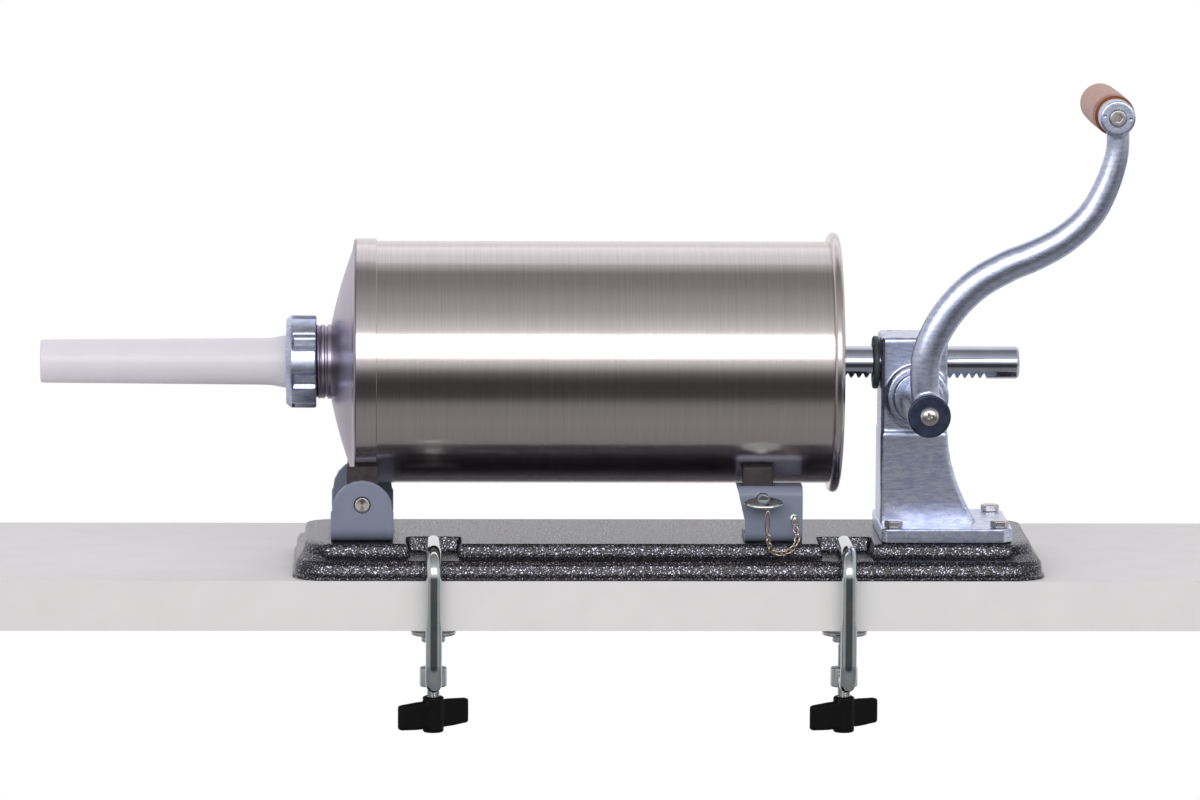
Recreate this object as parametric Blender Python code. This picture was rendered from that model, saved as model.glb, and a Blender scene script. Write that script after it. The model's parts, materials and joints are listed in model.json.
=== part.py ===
"""Horizontal rack-and-pinion sausage stuffer, clamped to the edge of a bench.

Frame: +X towards the crank end, -Y towards the person at the bench edge, +Z up.
The origin is the centre of the base plate's underside, on the bench top.
All sizes are metres; MM turns the drawing's millimetres into metres.
"""
import math

import bmesh
import bpy
from mathutils import Matrix, Vector

for leftover in list(bpy.data.objects):
    bpy.data.objects.remove(leftover, do_unlink=True)

MM = 0.001
CLEAR = 0.3 * MM
DRUM_STEPS = 32

# pressed base plate
BASE_LENGTH = 463 * MM
BASE_WIDTH = 150 * MM
BASE_HEIGHT = 20 * MM
BASE_SHEET = 1.8 * MM
BASE_CORNER = 20 * MM
LEDGE_HEIGHT = 11 * MM
LEDGE_RISE = 1.2 * MM
LEDGE_OUTER = 7 * MM
LEDGE_INNER = 15 * MM
PLATEAU_INSET = 19 * MM
PLATEAU_HALF = BASE_WIDTH / 2 - PLATEAU_INSET
END_INSET = 7.5 * MM
PLATEAU_CORNER = 17 * MM
NOTCH_WIDTH = 32 * MM
NOTCH_BACK = 51 * MM
NOTCH_DRAFT = 1.5 * MM
CLAMP_X = (-144.8 * MM, 109.4 * MM)

# cylinder, front cone and neck
TUBE_ABOVE_BASE = 31 * MM
AXIS_Y = 2 * MM
TUBE_RADIUS = 75 * MM
AXIS_HEIGHT = BASE_HEIGHT + TUBE_ABOVE_BASE + TUBE_RADIUS
TUBE_WALL = 1.5 * MM
TUBE_FRONT_X = -192 * MM
TUBE_REAR_X = 106.5 * MM
BEAD_RADIUS = 3.4 * MM
BAND_WIDTH = 12 * MM
CONE_DEPTH = 15 * MM
CONE_EDGE = 7 * MM
SHEET = 1.2 * MM
NECK_RADIUS = 23 * MM
NECK_WALL = 3.4 * MM
NECK_LENGTH = 22 * MM

# nozzle and its screw ring
RING_RADIUS = 28.7 * MM
RING_LENGTH = 18.6 * MM
RING_LIP = 3.2 * MM
RING_LOBES = 7
RING_SCALLOP = 2.6 * MM
HORN_LENGTH = 152 * MM
HORN_TIP_RADIUS = 13.35 * MM
HORN_ROOT_RADIUS = 14.3 * MM
HORN_FLARE_RADIUS = 16.2 * MM
HORN_WALL = 1.6 * MM
HORN_FLANGE = 2 * MM

# front hinge
HINGE_X = -188.8 * MM
HINGE_BELOW_TUBE = 7.8 * MM
HINGE_DROP = TUBE_RADIUS + HINGE_BELOW_TUBE
HINGE_SHAFT_RADIUS = 4.9 * MM
EAR_WIDTH = 38.6 * MM
EAR_SPREAD = 106 * MM
EAR_SHEET = 4 * MM
EAR_RADIUS = 18.6 * MM
EAR_TOP_ABOVE_PIN = 15.2 * MM
EAR_BEND = 6.5 * MM
SADDLE_WIDTH = 19 * MM
SADDLE_WALL = 4.2 * MM

# rear lock
LOCK_X = 57.8 * MM
LOCK_BRACKET_X = 62.2 * MM
LOCK_WIDTH = 40.4 * MM
LOCK_HEIGHT = 34.4 * MM
LOCK_SHEET = 3 * MM
LOCK_MARGIN = 5 * MM
LOCK_FRONT_Y = LOCK_MARGIN - PLATEAU_HALF
LOCK_FOOT = 44 * MM
LOCK_TOP = 22 * MM
LOCK_BEND = 4.5 * MM
LOCK_SLANT = 5 * MM
PIN_RADIUS = 3.9 * MM
PIN_BELOW_TOP = 7.6 * MM
LUG_WIDTH = 19 * MM
LUG_SHEET = 5 * MM
LUG_BEHIND = 5 * MM
PADDLE_WIDTH = 24 * MM
PADDLE_DEPTH = 15 * MM
PADDLE_SHEET = 2.6 * MM

# rack, pinion and piston
MODULE = 1.5 * MM
PINION_TEETH = 14
PRESSURE_ANGLE = math.radians(25)
BACKLASH = 0.34 * MM
PINION_WIDTH = 17 * MM
RACK_RADIUS = 10 * MM
RACK_FLAT = 9.5 * MM
RACK_RIGHT_X = 219 * MM
RACK_LEFT_X = -150 * MM
RACK_PLAIN = 21 * MM
RACK_GAPS = 70
SPIGOT_RADIUS = 6 * MM
PISTON_LENGTH = 20 * MM
PISTON_GAP = 0.7 * MM
SEAL_WIDTH = 8 * MM
SEAL_DEPTH = 4 * MM

# cast gear housing
CRANK_X = 154.7 * MM
HOUSING_LEFT = 132 * MM
HOUSING_RIGHT = 174 * MM
HOUSING_DEPTH = 44 * MM
HOUSING_ABOVE_AXIS = 18.2 * MM
HOUSING_STEP_BELOW_AXIS = 40.3 * MM
HOUSING_STEP_HEIGHT = AXIS_HEIGHT - HOUSING_STEP_BELOW_AXIS
HOUSING_STEP = 1.5 * MM
HOUSING_SPREAD = 18 * MM
FLANGE_LEFT = 131.1 * MM
FLANGE_RIGHT = 212.2 * MM
FLANGE_MARGIN = 1 * MM
FLANGE_BEHIND = 18 * MM
FLANGE_NEAR_Y = FLANGE_MARGIN - PLATEAU_HALF
FLANGE_FAR_Y = PLATEAU_HALF - FLANGE_BEHIND
FLANGE_THICK = 8.8 * MM
FLANGE_CHAMFER = 6 * MM
BOLT_INSET = 10 * MM
BOLT_SIDE = 7.8 * MM
BOLT_RADIUS = 3 * MM
BOSS_RADIUS = 19.2 * MM
BOSS_LENGTH = 6 * MM
BUSH_FLANGE_RADIUS = 15.8 * MM
BUSH_FLANGE = 3.6 * MM
RACK_BUSH_WALL = 2 * MM
WIPER_RADIUS = 16.4 * MM
WIPER_THICK = 3.6 * MM

# crank
CRANK_BEFORE_TUBE = 49 * MM
CRANK_FRONT_Y = AXIS_Y - TUBE_RADIUS - CRANK_BEFORE_TUBE
SHAFT_RADIUS = 5.3 * MM
HUB_RADIUS = 13 * MM
HUB_LENGTH = 15 * MM
SLEEVE_RADIUS = 12.2 * MM
GRIP_ARM_X = 112.2 * MM
GRIP_ARM_Z = 181.1 * MM
EYE_RADIUS = 10.8 * MM
EYE_LENGTH = 17 * MM
GRIP_RADIUS = 12.6 * MM
GRIP_LENGTH = 103 * MM
GRIP_BOLT_RADIUS = 3.8 * MM
GRIP_HEAD_RADIUS = 5.2 * MM
GRIP_HEAD_HEIGHT = 3.6 * MM
GRIP_HEAD_SINK = 2.6 * MM
GRIP_SOCKET_RADIUS = 2.6 * MM

# bench clamps
ROD_RADIUS = 5 * MM
ROD_BEND = 14 * MM
ROD_OUT = 9 * MM
ROD_DROP = 64.8 * MM
ROD_TIP_RADIUS = 2.4 * MM
SPINDLE_REACH = 43 * MM
SPINDLE_RADIUS = 4 * MM
EYE_PLATE_RADIUS = 8.5 * MM
EYE_PLATE_HEIGHT = 12 * MM
BENCH_THICKNESS = 35.5 * MM
PAD_RADIUS = 14 * MM
PAD_THICK = 3 * MM
PAD_CUP_RADIUS = 7.5 * MM
PAD_CUP = 4.5 * MM
WING_HUB_RADIUS = 6.6 * MM
WING_HUB_HEIGHT = 22.5 * MM
WING_SPAN = 53 * MM
WING_HEIGHT = 17.5 * MM
WING_SHEET = 5.2 * MM
WING_TOP_DROP = 77 * MM
WING_TURN = math.radians(37)

CIRCULAR_PITCH = math.pi * MODULE
PINION_PITCH_RADIUS = MODULE * PINION_TEETH / 2
CRANK_HEIGHT = AXIS_HEIGHT - (RACK_FLAT - MODULE) - PINION_PITCH_RADIUS
AXIS = Vector((0, AXIS_Y, AXIS_HEIGHT))
ALONG_X = (0, math.radians(90), 0)
ALONG_Y = (math.radians(-90), 0, 0)


def material(name, colour, roughness, metallic):
    """A plain Principled material in the colour of the real surface."""
    made = bpy.data.materials.new(name)
    made.use_nodes = True
    shader = made.node_tree.nodes["Principled BSDF"]
    shader.inputs["Base Color"].default_value = (*colour, 1)
    shader.inputs["Roughness"].default_value = roughness
    shader.inputs["Metallic"].default_value = metallic
    return made


HAMMERTONE = material("hammertone paint", (0.05, 0.05, 0.06), 0.35, 0.3)
POWDER = material("grey powder coat", (0.20, 0.23, 0.29), 0.45, 0.0)
STAINLESS = material("brushed stainless", (0.60, 0.57, 0.56), 0.3, 1.0)
ALUMINIUM = material("tumbled aluminium", (0.55, 0.58, 0.63), 0.4, 1.0)
CHROME = material("bright chromed steel", (0.72, 0.73, 0.76), 0.12, 1.0)
ZINC = material("zinc plated steel", (0.58, 0.61, 0.64), 0.25, 1.0)
BRONZE = material("bearing bronze", (0.55, 0.37, 0.18), 0.35, 1.0)
RUBBER = material("seal rubber", (0.05, 0.07, 0.06), 0.6, 0.0)
PLASTIC = material("black plastic", (0.015, 0.015, 0.016), 0.45, 0.0)
NOZZLE = material("milky polypropylene", (0.78, 0.75, 0.80), 0.35, 0.0)
WOOD = material("turned beech", (0.52, 0.27, 0.12), 0.5, 0.0)
BRASSY = material("nickelled chain", (0.62, 0.52, 0.42), 0.3, 1.0)


def add_object(name, bm, finish, location=(0, 0, 0), rotation=(0, 0, 0), parent=None):
    """Turn a bmesh into a named object at a world place, smooth with sharp edges."""
    bmesh.ops.recalc_face_normals(bm, faces=bm.faces)
    mesh = bpy.data.meshes.new(name)
    bm.to_mesh(mesh)
    bm.free()
    mesh.materials.append(finish)
    mesh.shade_smooth()
    mesh.set_sharp_from_angle(angle=math.radians(32))
    made = bpy.data.objects.new(name, mesh)
    bpy.context.scene.collection.objects.link(made)
    made.rotation_euler = rotation
    made.location = location
    if parent is not None:
        made.parent = parent
        made.location = Vector(location) - parent.location
    return made


def pivot(name, location):
    """An empty on a joint's axis, which carries the pieces that move with it."""
    made = bpy.data.objects.new(name, None)
    made.location = location
    bpy.context.scene.collection.objects.link(made)
    return made


def chain_of(bm, points, closed):
    """Vertices at the points and the edges that join them."""
    verts = [bm.verts.new(point) for point in points]
    pairs = list(zip(verts, verts[1:]))
    if closed:
        pairs.append((verts[-1], verts[0]))
    return verts + [bm.edges.new(pair) for pair in pairs]


def turned(profile, steps=24):
    """Spin a (radius, height) profile about Z; it is closed unless it ends on the axis."""
    bm = bmesh.new()
    bored = profile[0][0] > 0
    geometry = chain_of(bm, [(radius, 0, height) for radius, height in profile], bored)
    bmesh.ops.spin(bm, geom=geometry, cent=(0, 0, 0), axis=(0, 0, 1),
                   angle=2 * math.pi, steps=steps, use_merge=True)
    bmesh.ops.remove_doubles(bm, verts=bm.verts, dist=1e-6)
    return bm


def rod(radius, start, end, steps=16, chamfer=0.0):
    """A plain turned rod between two heights, with a chamfer at both ends."""
    profile = [(0, start), (radius - chamfer, start), (radius, start + chamfer),
               (radius, end - chamfer), (radius - chamfer, end), (0, end)]
    if not chamfer:
        profile = [(0, start), (radius, start), (radius, end), (0, end)]
    return turned(profile, steps)


def sleeve(outer, inner, start, end, steps=20, chamfer=0.0):
    """A bored ring between two heights."""
    profile = [(inner, start), (outer - chamfer, start), (outer, start + chamfer),
               (outer, end - chamfer), (outer - chamfer, end), (inner, end)]
    if not chamfer:
        profile = [(inner, start), (outer, start), (outer, end), (inner, end)]
    return turned(profile, steps)


def prism(outline, depth, start=0.0):
    """Extrude a flat outline along Z."""
    bm = bmesh.new()
    face = bm.faces.new([bm.verts.new((x, y, start)) for x, y in outline])
    grown = bmesh.ops.extrude_face_region(bm, geom=[face])
    moved = [item for item in grown["geom"] if isinstance(item, bmesh.types.BMVert)]
    bmesh.ops.translate(bm, verts=moved, vec=(0, 0, depth))
    return bm


def skin(loops, ring=False):
    """Join loops of equal length into one closed surface, capped unless it is a ring."""
    bm = bmesh.new()
    rows = [[bm.verts.new(point) for point in loop] for loop in loops]
    pairs = list(zip(rows, rows[1:]))
    if ring:
        pairs.append((rows[-1], rows[0]))
    count = len(rows[0])
    for low, high in pairs:
        for k in range(count):
            after = (k + 1) % count
            bm.faces.new((low[k], low[after], high[after], high[k]))
    if not ring:
        bm.faces.new(rows[0])
        bm.faces.new(rows[-1])
    return bm


def circle(radius, height, count):
    """A loop of points about Z."""
    turn = [2 * math.pi * k / count for k in range(count)]
    return [(radius * math.cos(a), radius * math.sin(a), height) for a in turn]


def hexagon(across_flats, height):
    """Twelve points on a hexagon about Z: its corners and the middles of its sides."""
    points = []
    for k in range(12):
        reach = across_flats / 2
        if k % 2:
            reach = reach / math.cos(math.pi / 6)
        angle = math.pi * k / 6
        points.append((reach * math.cos(angle), reach * math.sin(angle), height))
    return points


def rounded_loop(length, width, corner, height, steps=3):
    """A rounded rectangle about Z at one height."""
    points = []
    for k, (sx, sy) in enumerate(((1, 1), (-1, 1), (-1, -1), (1, -1))):
        centre_x = sx * (length / 2 - corner)
        centre_y = sy * (width / 2 - corner)
        for step in range(steps + 1):
            angle = math.pi / 2 * (k + step / steps)
            points.append((centre_x + corner * math.cos(angle),
                           centre_y + corner * math.sin(angle), height))
    return points


def bent_strip(corners, thickness, bend, steps=5):
    """Outline of a sheet strip that follows a path and bends round its corners."""
    path = [Vector(point) for point in corners]
    centre = [path[0]]
    for before, corner, after in zip(path, path[1:], path[2:]):
        into = (before - corner).normalized()
        out = (after - corner).normalized()
        half = into.angle(out) / 2
        reach = bend / math.tan(half)
        middle = corner + (into + out).normalized() * (bend / math.sin(half))
        first = corner + into * reach - middle
        last = corner + out * reach - middle
        for step in range(steps + 1):
            centre.append(middle + first.lerp(last, step / steps).normalized() * bend)
    centre.append(path[-1])
    left, right = [], []
    for k, point in enumerate(centre):
        ahead = centre[min(k + 1, len(centre) - 1)] - centre[max(k - 1, 0)]
        normal = Vector((-ahead.y, ahead.x)).normalized() * (thickness / 2)
        left.append(point + normal)
        right.append(point - normal)
    return [tuple(point) for point in left + right[::-1]]


def smooth_path(points, per_span=4):
    """Catmull-Rom points through a few route points."""
    knots = [Vector(point) for point in points]
    knots = [2 * knots[0] - knots[1]] + knots + [2 * knots[-1] - knots[-2]]
    path = []
    for a, b, c, d in zip(knots, knots[1:], knots[2:], knots[3:]):
        for step in range(per_span):
            t = step / per_span
            path.append(0.5 * (2 * b + (c - a) * t + (2 * a - 5 * b + 4 * c - d) * t * t
                               + (3 * b - a - 3 * c + d) * t ** 3))
    path.append(knots[-2])
    return path


def swept(path, sections, side, count=16):
    """Carry an oval section along a path; side is the direction of its second axis."""
    loops = []
    across = Vector(side).normalized()
    for k, point in enumerate(path):
        ahead = (path[min(k + 1, len(path) - 1)] - path[max(k - 1, 0)]).normalized()
        first = ahead.cross(across).normalized()
        wide, thick = sections[k]
        loop = []
        for step in range(count):
            angle = 2 * math.pi * step / count
            loop.append(point + first * (wide * math.cos(angle))
                        + across * (thick * math.sin(angle)))
        loops.append(loop)
    return skin(loops)


def tool(name, bm, location=(0, 0, 0), rotation=(0, 0, 0)):
    """A helper solid for a Boolean: a wire in the viewport, never rendered."""
    made = add_object(name, bm, POWDER, location, rotation)
    made.display_type = 'WIRE'
    made.hide_render = True
    return made


def combine(target, other, operation='DIFFERENCE'):
    """Cut, join or intersect one object with a helper."""
    step = target.modifiers.new(other.name, 'BOOLEAN')
    step.operation = operation
    step.solver = 'EXACT'
    step.object = other
    return other


def soften(target, width, segments=1, angle=35):
    """Break the sharp edges of a piece."""
    step = target.modifiers.new("edge break", 'BEVEL')
    step.width = width
    step.segments = segments
    step.limit_method = 'ANGLE'
    step.angle_limit = math.radians(angle)


def base_outline(inset, height):
    """One loop of the base pressing; its ends step in less than its long sides."""
    share = END_INSET / PLATEAU_INSET
    end = inset * share
    corner = BASE_CORNER + (PLATEAU_CORNER - BASE_CORNER) * inset / PLATEAU_INSET
    return rounded_loop(BASE_LENGTH - 2 * end, BASE_WIDTH - 2 * inset, corner, height, 4)


def notch_tool(name, x, grow):
    """The clamp notch as a tapered solid, open at the near edge, grown by a wall."""
    near = -BASE_WIDTH / 2 - 4 * MM
    back = near + NOTCH_BACK + 4 * MM + grow
    floor = LEDGE_HEIGHT + 0.3 * MM - grow
    loops = []
    for rise, height in ((0, floor), (1, BASE_HEIGHT + 1 * MM)):
        half = NOTCH_WIDTH / 2 + grow + NOTCH_DRAFT * (rise - 0.5) * 2
        depth = back - near + NOTCH_DRAFT * rise
        loop = rounded_loop(2 * half, depth, 3 * MM, height, 2)
        loops.append([(px, py + near + depth / 2, pz) for px, py, pz in loop])
    return tool(name, skin(loops), (x, 0, 0))


def bolt_places():
    """Centres of the four housing bolts."""
    left = FLANGE_LEFT + BOLT_SIDE
    right = FLANGE_RIGHT - BOLT_SIDE
    near = FLANGE_NEAR_Y + BOLT_INSET
    far = FLANGE_FAR_Y - BOLT_INSET
    return [(left, near), (right, near), (right, far), (left, far)]


def yoke_screw_places():
    """Centres of the two screws in the yoke's strap."""
    return [(HINGE_X, AXIS_Y - EAR_SPREAD / 5), (HINGE_X, AXIS_Y + EAR_SPREAD / 5)]


def lock_screw_places():
    """Centres of the two screws in the lock bracket's foot."""
    row = LOCK_FRONT_Y + LOCK_FOOT * 0.62
    return [(LOCK_BRACKET_X - LOCK_WIDTH / 4, row), (LOCK_BRACKET_X + LOCK_WIDTH / 4, row)]


def build_base():
    """The pressed steel plate: flange, skirt, ledge, sloped wall and plateau."""
    ledge = LEDGE_HEIGHT + LEDGE_RISE
    wall = BASE_HEIGHT - ledge
    outer = [(0, 0), (0, 1.8 * MM), (2.2 * MM, 2.2 * MM), (3 * MM, 3.4 * MM),
             (LEDGE_OUTER * 0.6, LEDGE_HEIGHT * 0.8), (LEDGE_OUTER, LEDGE_HEIGHT),
             (LEDGE_INNER, ledge), (PLATEAU_INSET - 1 * MM, BASE_HEIGHT - wall * 0.14),
             (PLATEAU_INSET + 0.4 * MM, BASE_HEIGHT)]
    plate = add_object("base_plate", skin([base_outline(i, z) for i, z in outer]), HAMMERTONE)
    t = BASE_SHEET
    inner = [(3.4 * MM + t, -4 * MM), (LEDGE_OUTER * 0.6 + t, LEDGE_HEIGHT * 0.7),
             (LEDGE_OUTER + t, LEDGE_HEIGHT - t), (LEDGE_INNER + t, ledge - t),
             (PLATEAU_INSET + t * 0.8, BASE_HEIGHT - t - wall * 0.1),
             (PLATEAU_INSET + t + 1 * MM, BASE_HEIGHT - t)]
    core = tool("base hollow", skin([base_outline(i, z) for i, z in inner]))
    for k, x in enumerate(CLAMP_X):
        combine(plate, notch_tool("notch " + str(k), x, 0))
        combine(core, notch_tool("notch wall " + str(k), x, t))
    combine(plate, core)
    reach = 6 * MM
    back = -BASE_WIDTH / 2 + NOTCH_BACK
    for k, x in enumerate(CLAMP_X):
        hole = rod(ROD_TIP_RADIUS + CLEAR, -reach, reach, 8)
        combine(plate, tool("clamp hole " + str(k), hole, (x, back, rod_height()), ALONG_Y))
    places = bolt_places() + yoke_screw_places() + lock_screw_places()
    for k, (x, y) in enumerate(places):
        hole = rod(BOLT_RADIUS + CLEAR, -6 * MM, 6 * MM, 8)
        combine(plate, tool("base hole " + str(k), hole, (x, y, BASE_HEIGHT)))
    return plate


def rod_height():
    """Height of a clamp rod's upper arm, just clear of the notch floor."""
    return LEDGE_HEIGHT + 0.3 * MM + CLEAR + ROD_RADIUS


def build_yoke():
    """The folded front yoke that carries the hinge shaft in its two ears."""
    foot = BASE_HEIGHT + CLEAR
    pin_z = AXIS_HEIGHT - HINGE_DROP
    top = pin_z + EAR_TOP_ABOVE_PIN
    half = EAR_SPREAD / 2 - EAR_SHEET / 2
    middle = foot + EAR_SHEET / 2
    path = [(-half, top), (-half, middle), (half, middle), (half, top)]
    strip = bent_strip(path, EAR_SHEET, EAR_BEND)
    wide = EAR_WIDTH + 4 * MM
    yoke = add_object("front_yoke", prism(strip, wide, -wide / 2), POWDER,
                      (HINGE_X, AXIS_Y, 0), (math.radians(90), 0, math.radians(90)))
    centre = top - EAR_RADIUS
    arc = [math.pi * k / 10 for k in range(11)]
    outline = [(EAR_RADIUS * math.cos(a), centre + EAR_RADIUS * math.sin(a)) for a in arc]
    w = EAR_WIDTH / 2
    outline += [(-w, centre - 1 * MM), (-w, foot - 1 * MM), (w, foot - 1 * MM), (w, centre - 1 * MM)]
    shape = prism(outline, EAR_SPREAD + 20 * MM, -EAR_SPREAD / 2 - 10 * MM)
    combine(yoke, tool("ear outline", shape, (HINGE_X, AXIS_Y, 0), (math.radians(90), 0, 0)),
            'INTERSECT')
    bore = rod(HINGE_SHAFT_RADIUS + CLEAR, -EAR_SPREAD, EAR_SPREAD, 16)
    combine(yoke, tool("yoke bore", bore, (HINGE_X, AXIS_Y, pin_z), ALONG_Y))
    for k, (x, y) in enumerate(yoke_screw_places()):
        hole = rod(BOLT_RADIUS + CLEAR, -3 * MM, EAR_SHEET + 3 * MM, 8)
        combine(yoke, tool("strap hole " + str(k), hole, (x, y, foot)))
        fastener("yoke_screw_" + str(k + 1), x, y, foot + EAR_SHEET, False)
    return yoke


def fastener(name, x, y, seat, with_hex):
    """A machine screw on a seat, hexagon or round headed, that reaches under the base."""
    low = BASE_HEIGHT - BASE_SHEET - seat - 9 * MM
    rise = seat + CLEAR
    if with_hex:
        loops = [circle(BOLT_RADIUS, low, 6), circle(BOLT_RADIUS, 0, 6),
                 circle(10 * MM / math.sqrt(3), 0, 6), circle(10 * MM / math.sqrt(3), 3.6 * MM, 6),
                 circle(4.9 * MM, 4.1 * MM, 6)]
    else:
        loops = [circle(BOLT_RADIUS, low, 8), circle(BOLT_RADIUS, 0, 8),
                 circle(5.6 * MM, 0, 8), circle(5.6 * MM, 1.6 * MM, 8),
                 circle(3.6 * MM, 3.2 * MM, 8)]
    return add_object(name, skin(loops), STAINLESS, (x, y, rise))


def nut_under_base(name, x, y):
    """A hexagon nut against the underside of the plate."""
    bore = (BOLT_RADIUS + CLEAR) * 1.16
    corner = 10 * MM / math.sqrt(3)
    top = BASE_HEIGHT - BASE_SHEET - CLEAR
    loops = [circle(bore, -5 * MM, 6), circle(corner, -5 * MM, 6), circle(corner, 0, 6),
             circle(bore, 0, 6)]
    return add_object(name, skin(loops, True), STAINLESS, (x, y, top))


def bolt_from_below(name, x, y):
    """The bolt under the column, which screws up into the casting."""
    seat = BASE_HEIGHT - BASE_SHEET - CLEAR
    corner = 10 * MM / math.sqrt(3)
    rise = BASE_SHEET + 2 * CLEAR + FLANGE_THICK + 1 * MM
    loops = [circle(4.9 * MM, -4.1 * MM, 6), circle(corner, -3.6 * MM, 6), circle(corner, 0, 6),
             circle(BOLT_RADIUS, 0, 6), circle(BOLT_RADIUS, rise, 6)]
    return add_object(name, skin(loops), STAINLESS, (x, y, seat))


def build_hinge():
    """The hinge shaft and the saddle under the cylinder's front band."""
    pin_z = AXIS_HEIGHT - HINGE_DROP
    end = EAR_SPREAD / 2
    add_object("hinge_shaft", rod(HINGE_SHAFT_RADIUS, -end, end, 16, 0.8 * MM), STAINLESS,
               (HINGE_X, AXIS_Y, pin_z), ALONG_Y)
    inside = EAR_SPREAD / 2 - EAR_SHEET - 0.5 * MM
    w = SADDLE_WIDTH / 2
    radius = HINGE_SHAFT_RADIUS + CLEAR + SADDLE_WALL
    arc = [math.pi * (1 + k / 8) for k in range(9)]
    outline = [(radius * math.cos(a), radius * math.sin(a)) for a in arc]
    side = math.sqrt(max((TUBE_RADIUS + SHEET) ** 2 - inside ** 2, 0))
    high = HINGE_DROP - side - 2 * CLEAR
    outline += [(w, radius * 0.5), (w, high), (-w, high), (-w, radius * 0.5)]
    saddle = add_object("hinge_saddle", prism(outline, 2 * inside, -inside), STAINLESS,
                        (HINGE_X, AXIS_Y, pin_z), (math.radians(90), 0, 0))
    bore = rod(HINGE_SHAFT_RADIUS + CLEAR, -EAR_SPREAD, EAR_SPREAD, 16)
    combine(saddle, tool("saddle bore", bore, (HINGE_X, AXIS_Y, pin_z), ALONG_Y))
    hug = rod(TUBE_RADIUS + SHEET + 2 * CLEAR, -SADDLE_WIDTH, SADDLE_WIDTH, DRUM_STEPS)
    combine(saddle, tool("saddle hug", hug, (HINGE_X, AXIS_Y, AXIS_HEIGHT), ALONG_X))


def build_cylinder():
    """The drawn stainless tube with its rolled rear bead."""
    r = TUBE_RADIUS
    inner = r - TUBE_WALL
    bead_x = TUBE_REAR_X - BEAD_RADIUS
    bead_r = r + BEAD_RADIUS - TUBE_WALL + 0.4 * MM
    profile = bead_profile(inner, r, bead_x, bead_r)
    add_object("cylinder_tube", turned(profile, DRUM_STEPS), STAINLESS, (0, AXIS_Y, AXIS_HEIGHT), ALONG_X)


def bead_profile(inner, outer, bead_x, bead_r):
    """Wall of the tube, run into the round bead at its open end."""
    profile = [(inner, TUBE_FRONT_X), (outer, TUBE_FRONT_X),
               (outer, bead_x - BEAD_RADIUS * 0.75)]
    for k in range(5):
        angle = math.radians(-50 + k * 50)
        profile.append((bead_r + BEAD_RADIUS * math.cos(angle),
                        bead_x + BEAD_RADIUS * math.sin(angle)))
    profile.append((inner, bead_x + BEAD_RADIUS * 0.4))
    return profile


def cone_profile():
    """Outer side of the front cap: band, rounded edge and shallow cone to the neck."""
    band_r = TUBE_RADIUS + CLEAR + SHEET
    front = TUBE_FRONT_X - 1.2 * MM
    rows = [(band_r, TUBE_FRONT_X + BAND_WIDTH), (band_r, front + 0.6 * MM),
            (band_r - 0.8 * MM, front - 0.5 * MM)]
    edge_r = band_r - CONE_EDGE
    rows.append((edge_r, front - 1.8 * MM))
    hole = NECK_RADIUS + CLEAR
    for k in range(1, 3):
        share = k / 2
        bulge = math.sin(math.pi * share) * 0.9 * MM
        rows.append((edge_r + (hole - edge_r) * share,
                     front - 1.8 * MM - (CONE_DEPTH - 1.8 * MM) * share - bulge))
    return rows


def build_cone():
    """The pressed front cap that closes the tube."""
    outer = cone_profile()
    inner = [(TUBE_RADIUS + CLEAR, outer[0][1]), (TUBE_RADIUS + CLEAR, TUBE_FRONT_X - CLEAR)]
    for radius, x in outer[3:]:
        inner.append((radius, x + SHEET * 1.1))
    cap = turned(outer + inner[::-1], DRUM_STEPS)
    add_object("front_cone", cap, STAINLESS, (0, AXIS_Y, AXIS_HEIGHT), ALONG_X)


def neck_front():
    """Place of the neck's free end along the machine axis."""
    return cone_profile()[-1][1] - NECK_LENGTH


def build_neck():
    """The threaded neck, held in the cap by a collar inside it."""
    front = neck_front()
    root = cone_profile()[-1][1]
    bore = NECK_RADIUS - NECK_WALL
    inside = root + 3.2 * MM
    groove = root - 2.4 * MM
    rows = [(bore, front), (NECK_RADIUS - 1.2 * MM, front), (NECK_RADIUS, front + 1.2 * MM),
            (NECK_RADIUS, groove - 2 * MM), (NECK_RADIUS - 1 * MM, groove - 1.4 * MM),
            (NECK_RADIUS - 1 * MM, groove), (NECK_RADIUS, groove + 0.6 * MM),
            (NECK_RADIUS, inside), (NECK_RADIUS + 3 * MM, inside),
            (NECK_RADIUS + 3 * MM, inside + 1.4 * MM), (bore, inside + 1.4 * MM)]
    add_object("threaded_neck", turned(rows, 24), STAINLESS, (0, AXIS_Y, AXIS_HEIGHT), ALONG_X)


def build_nozzle():
    """The filling nozzle, its flange trapped between the neck and the ring's lip."""
    seat = neck_front() - CLEAR
    face = seat - HORN_FLANGE
    ring_front = face - CLEAR - RING_LIP
    tip = ring_front - HORN_LENGTH
    flange_r = NECK_RADIUS - 0.6 * MM
    root = ring_front - 9 * MM
    w = HORN_WALL
    profile = [(HORN_FLARE_RADIUS - w, seat), (flange_r, seat), (flange_r, face),
               (HORN_FLARE_RADIUS, face), (HORN_FLARE_RADIUS, ring_front - 1 * MM),
               (HORN_ROOT_RADIUS + 0.5 * MM, root + 3 * MM), (HORN_ROOT_RADIUS, root),
               (HORN_TIP_RADIUS, tip + 0.8 * MM), (HORN_TIP_RADIUS - 0.6 * MM, tip),
               (HORN_TIP_RADIUS - w, tip), (HORN_ROOT_RADIUS - w, root),
               (HORN_FLARE_RADIUS - w, ring_front + 2 * MM)]
    carrier = pivot("nozzle slide", AXIS)
    add_object("nozzle", turned(profile, 20), NOZZLE, AXIS, ALONG_X, carrier)
    return ring_front


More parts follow.
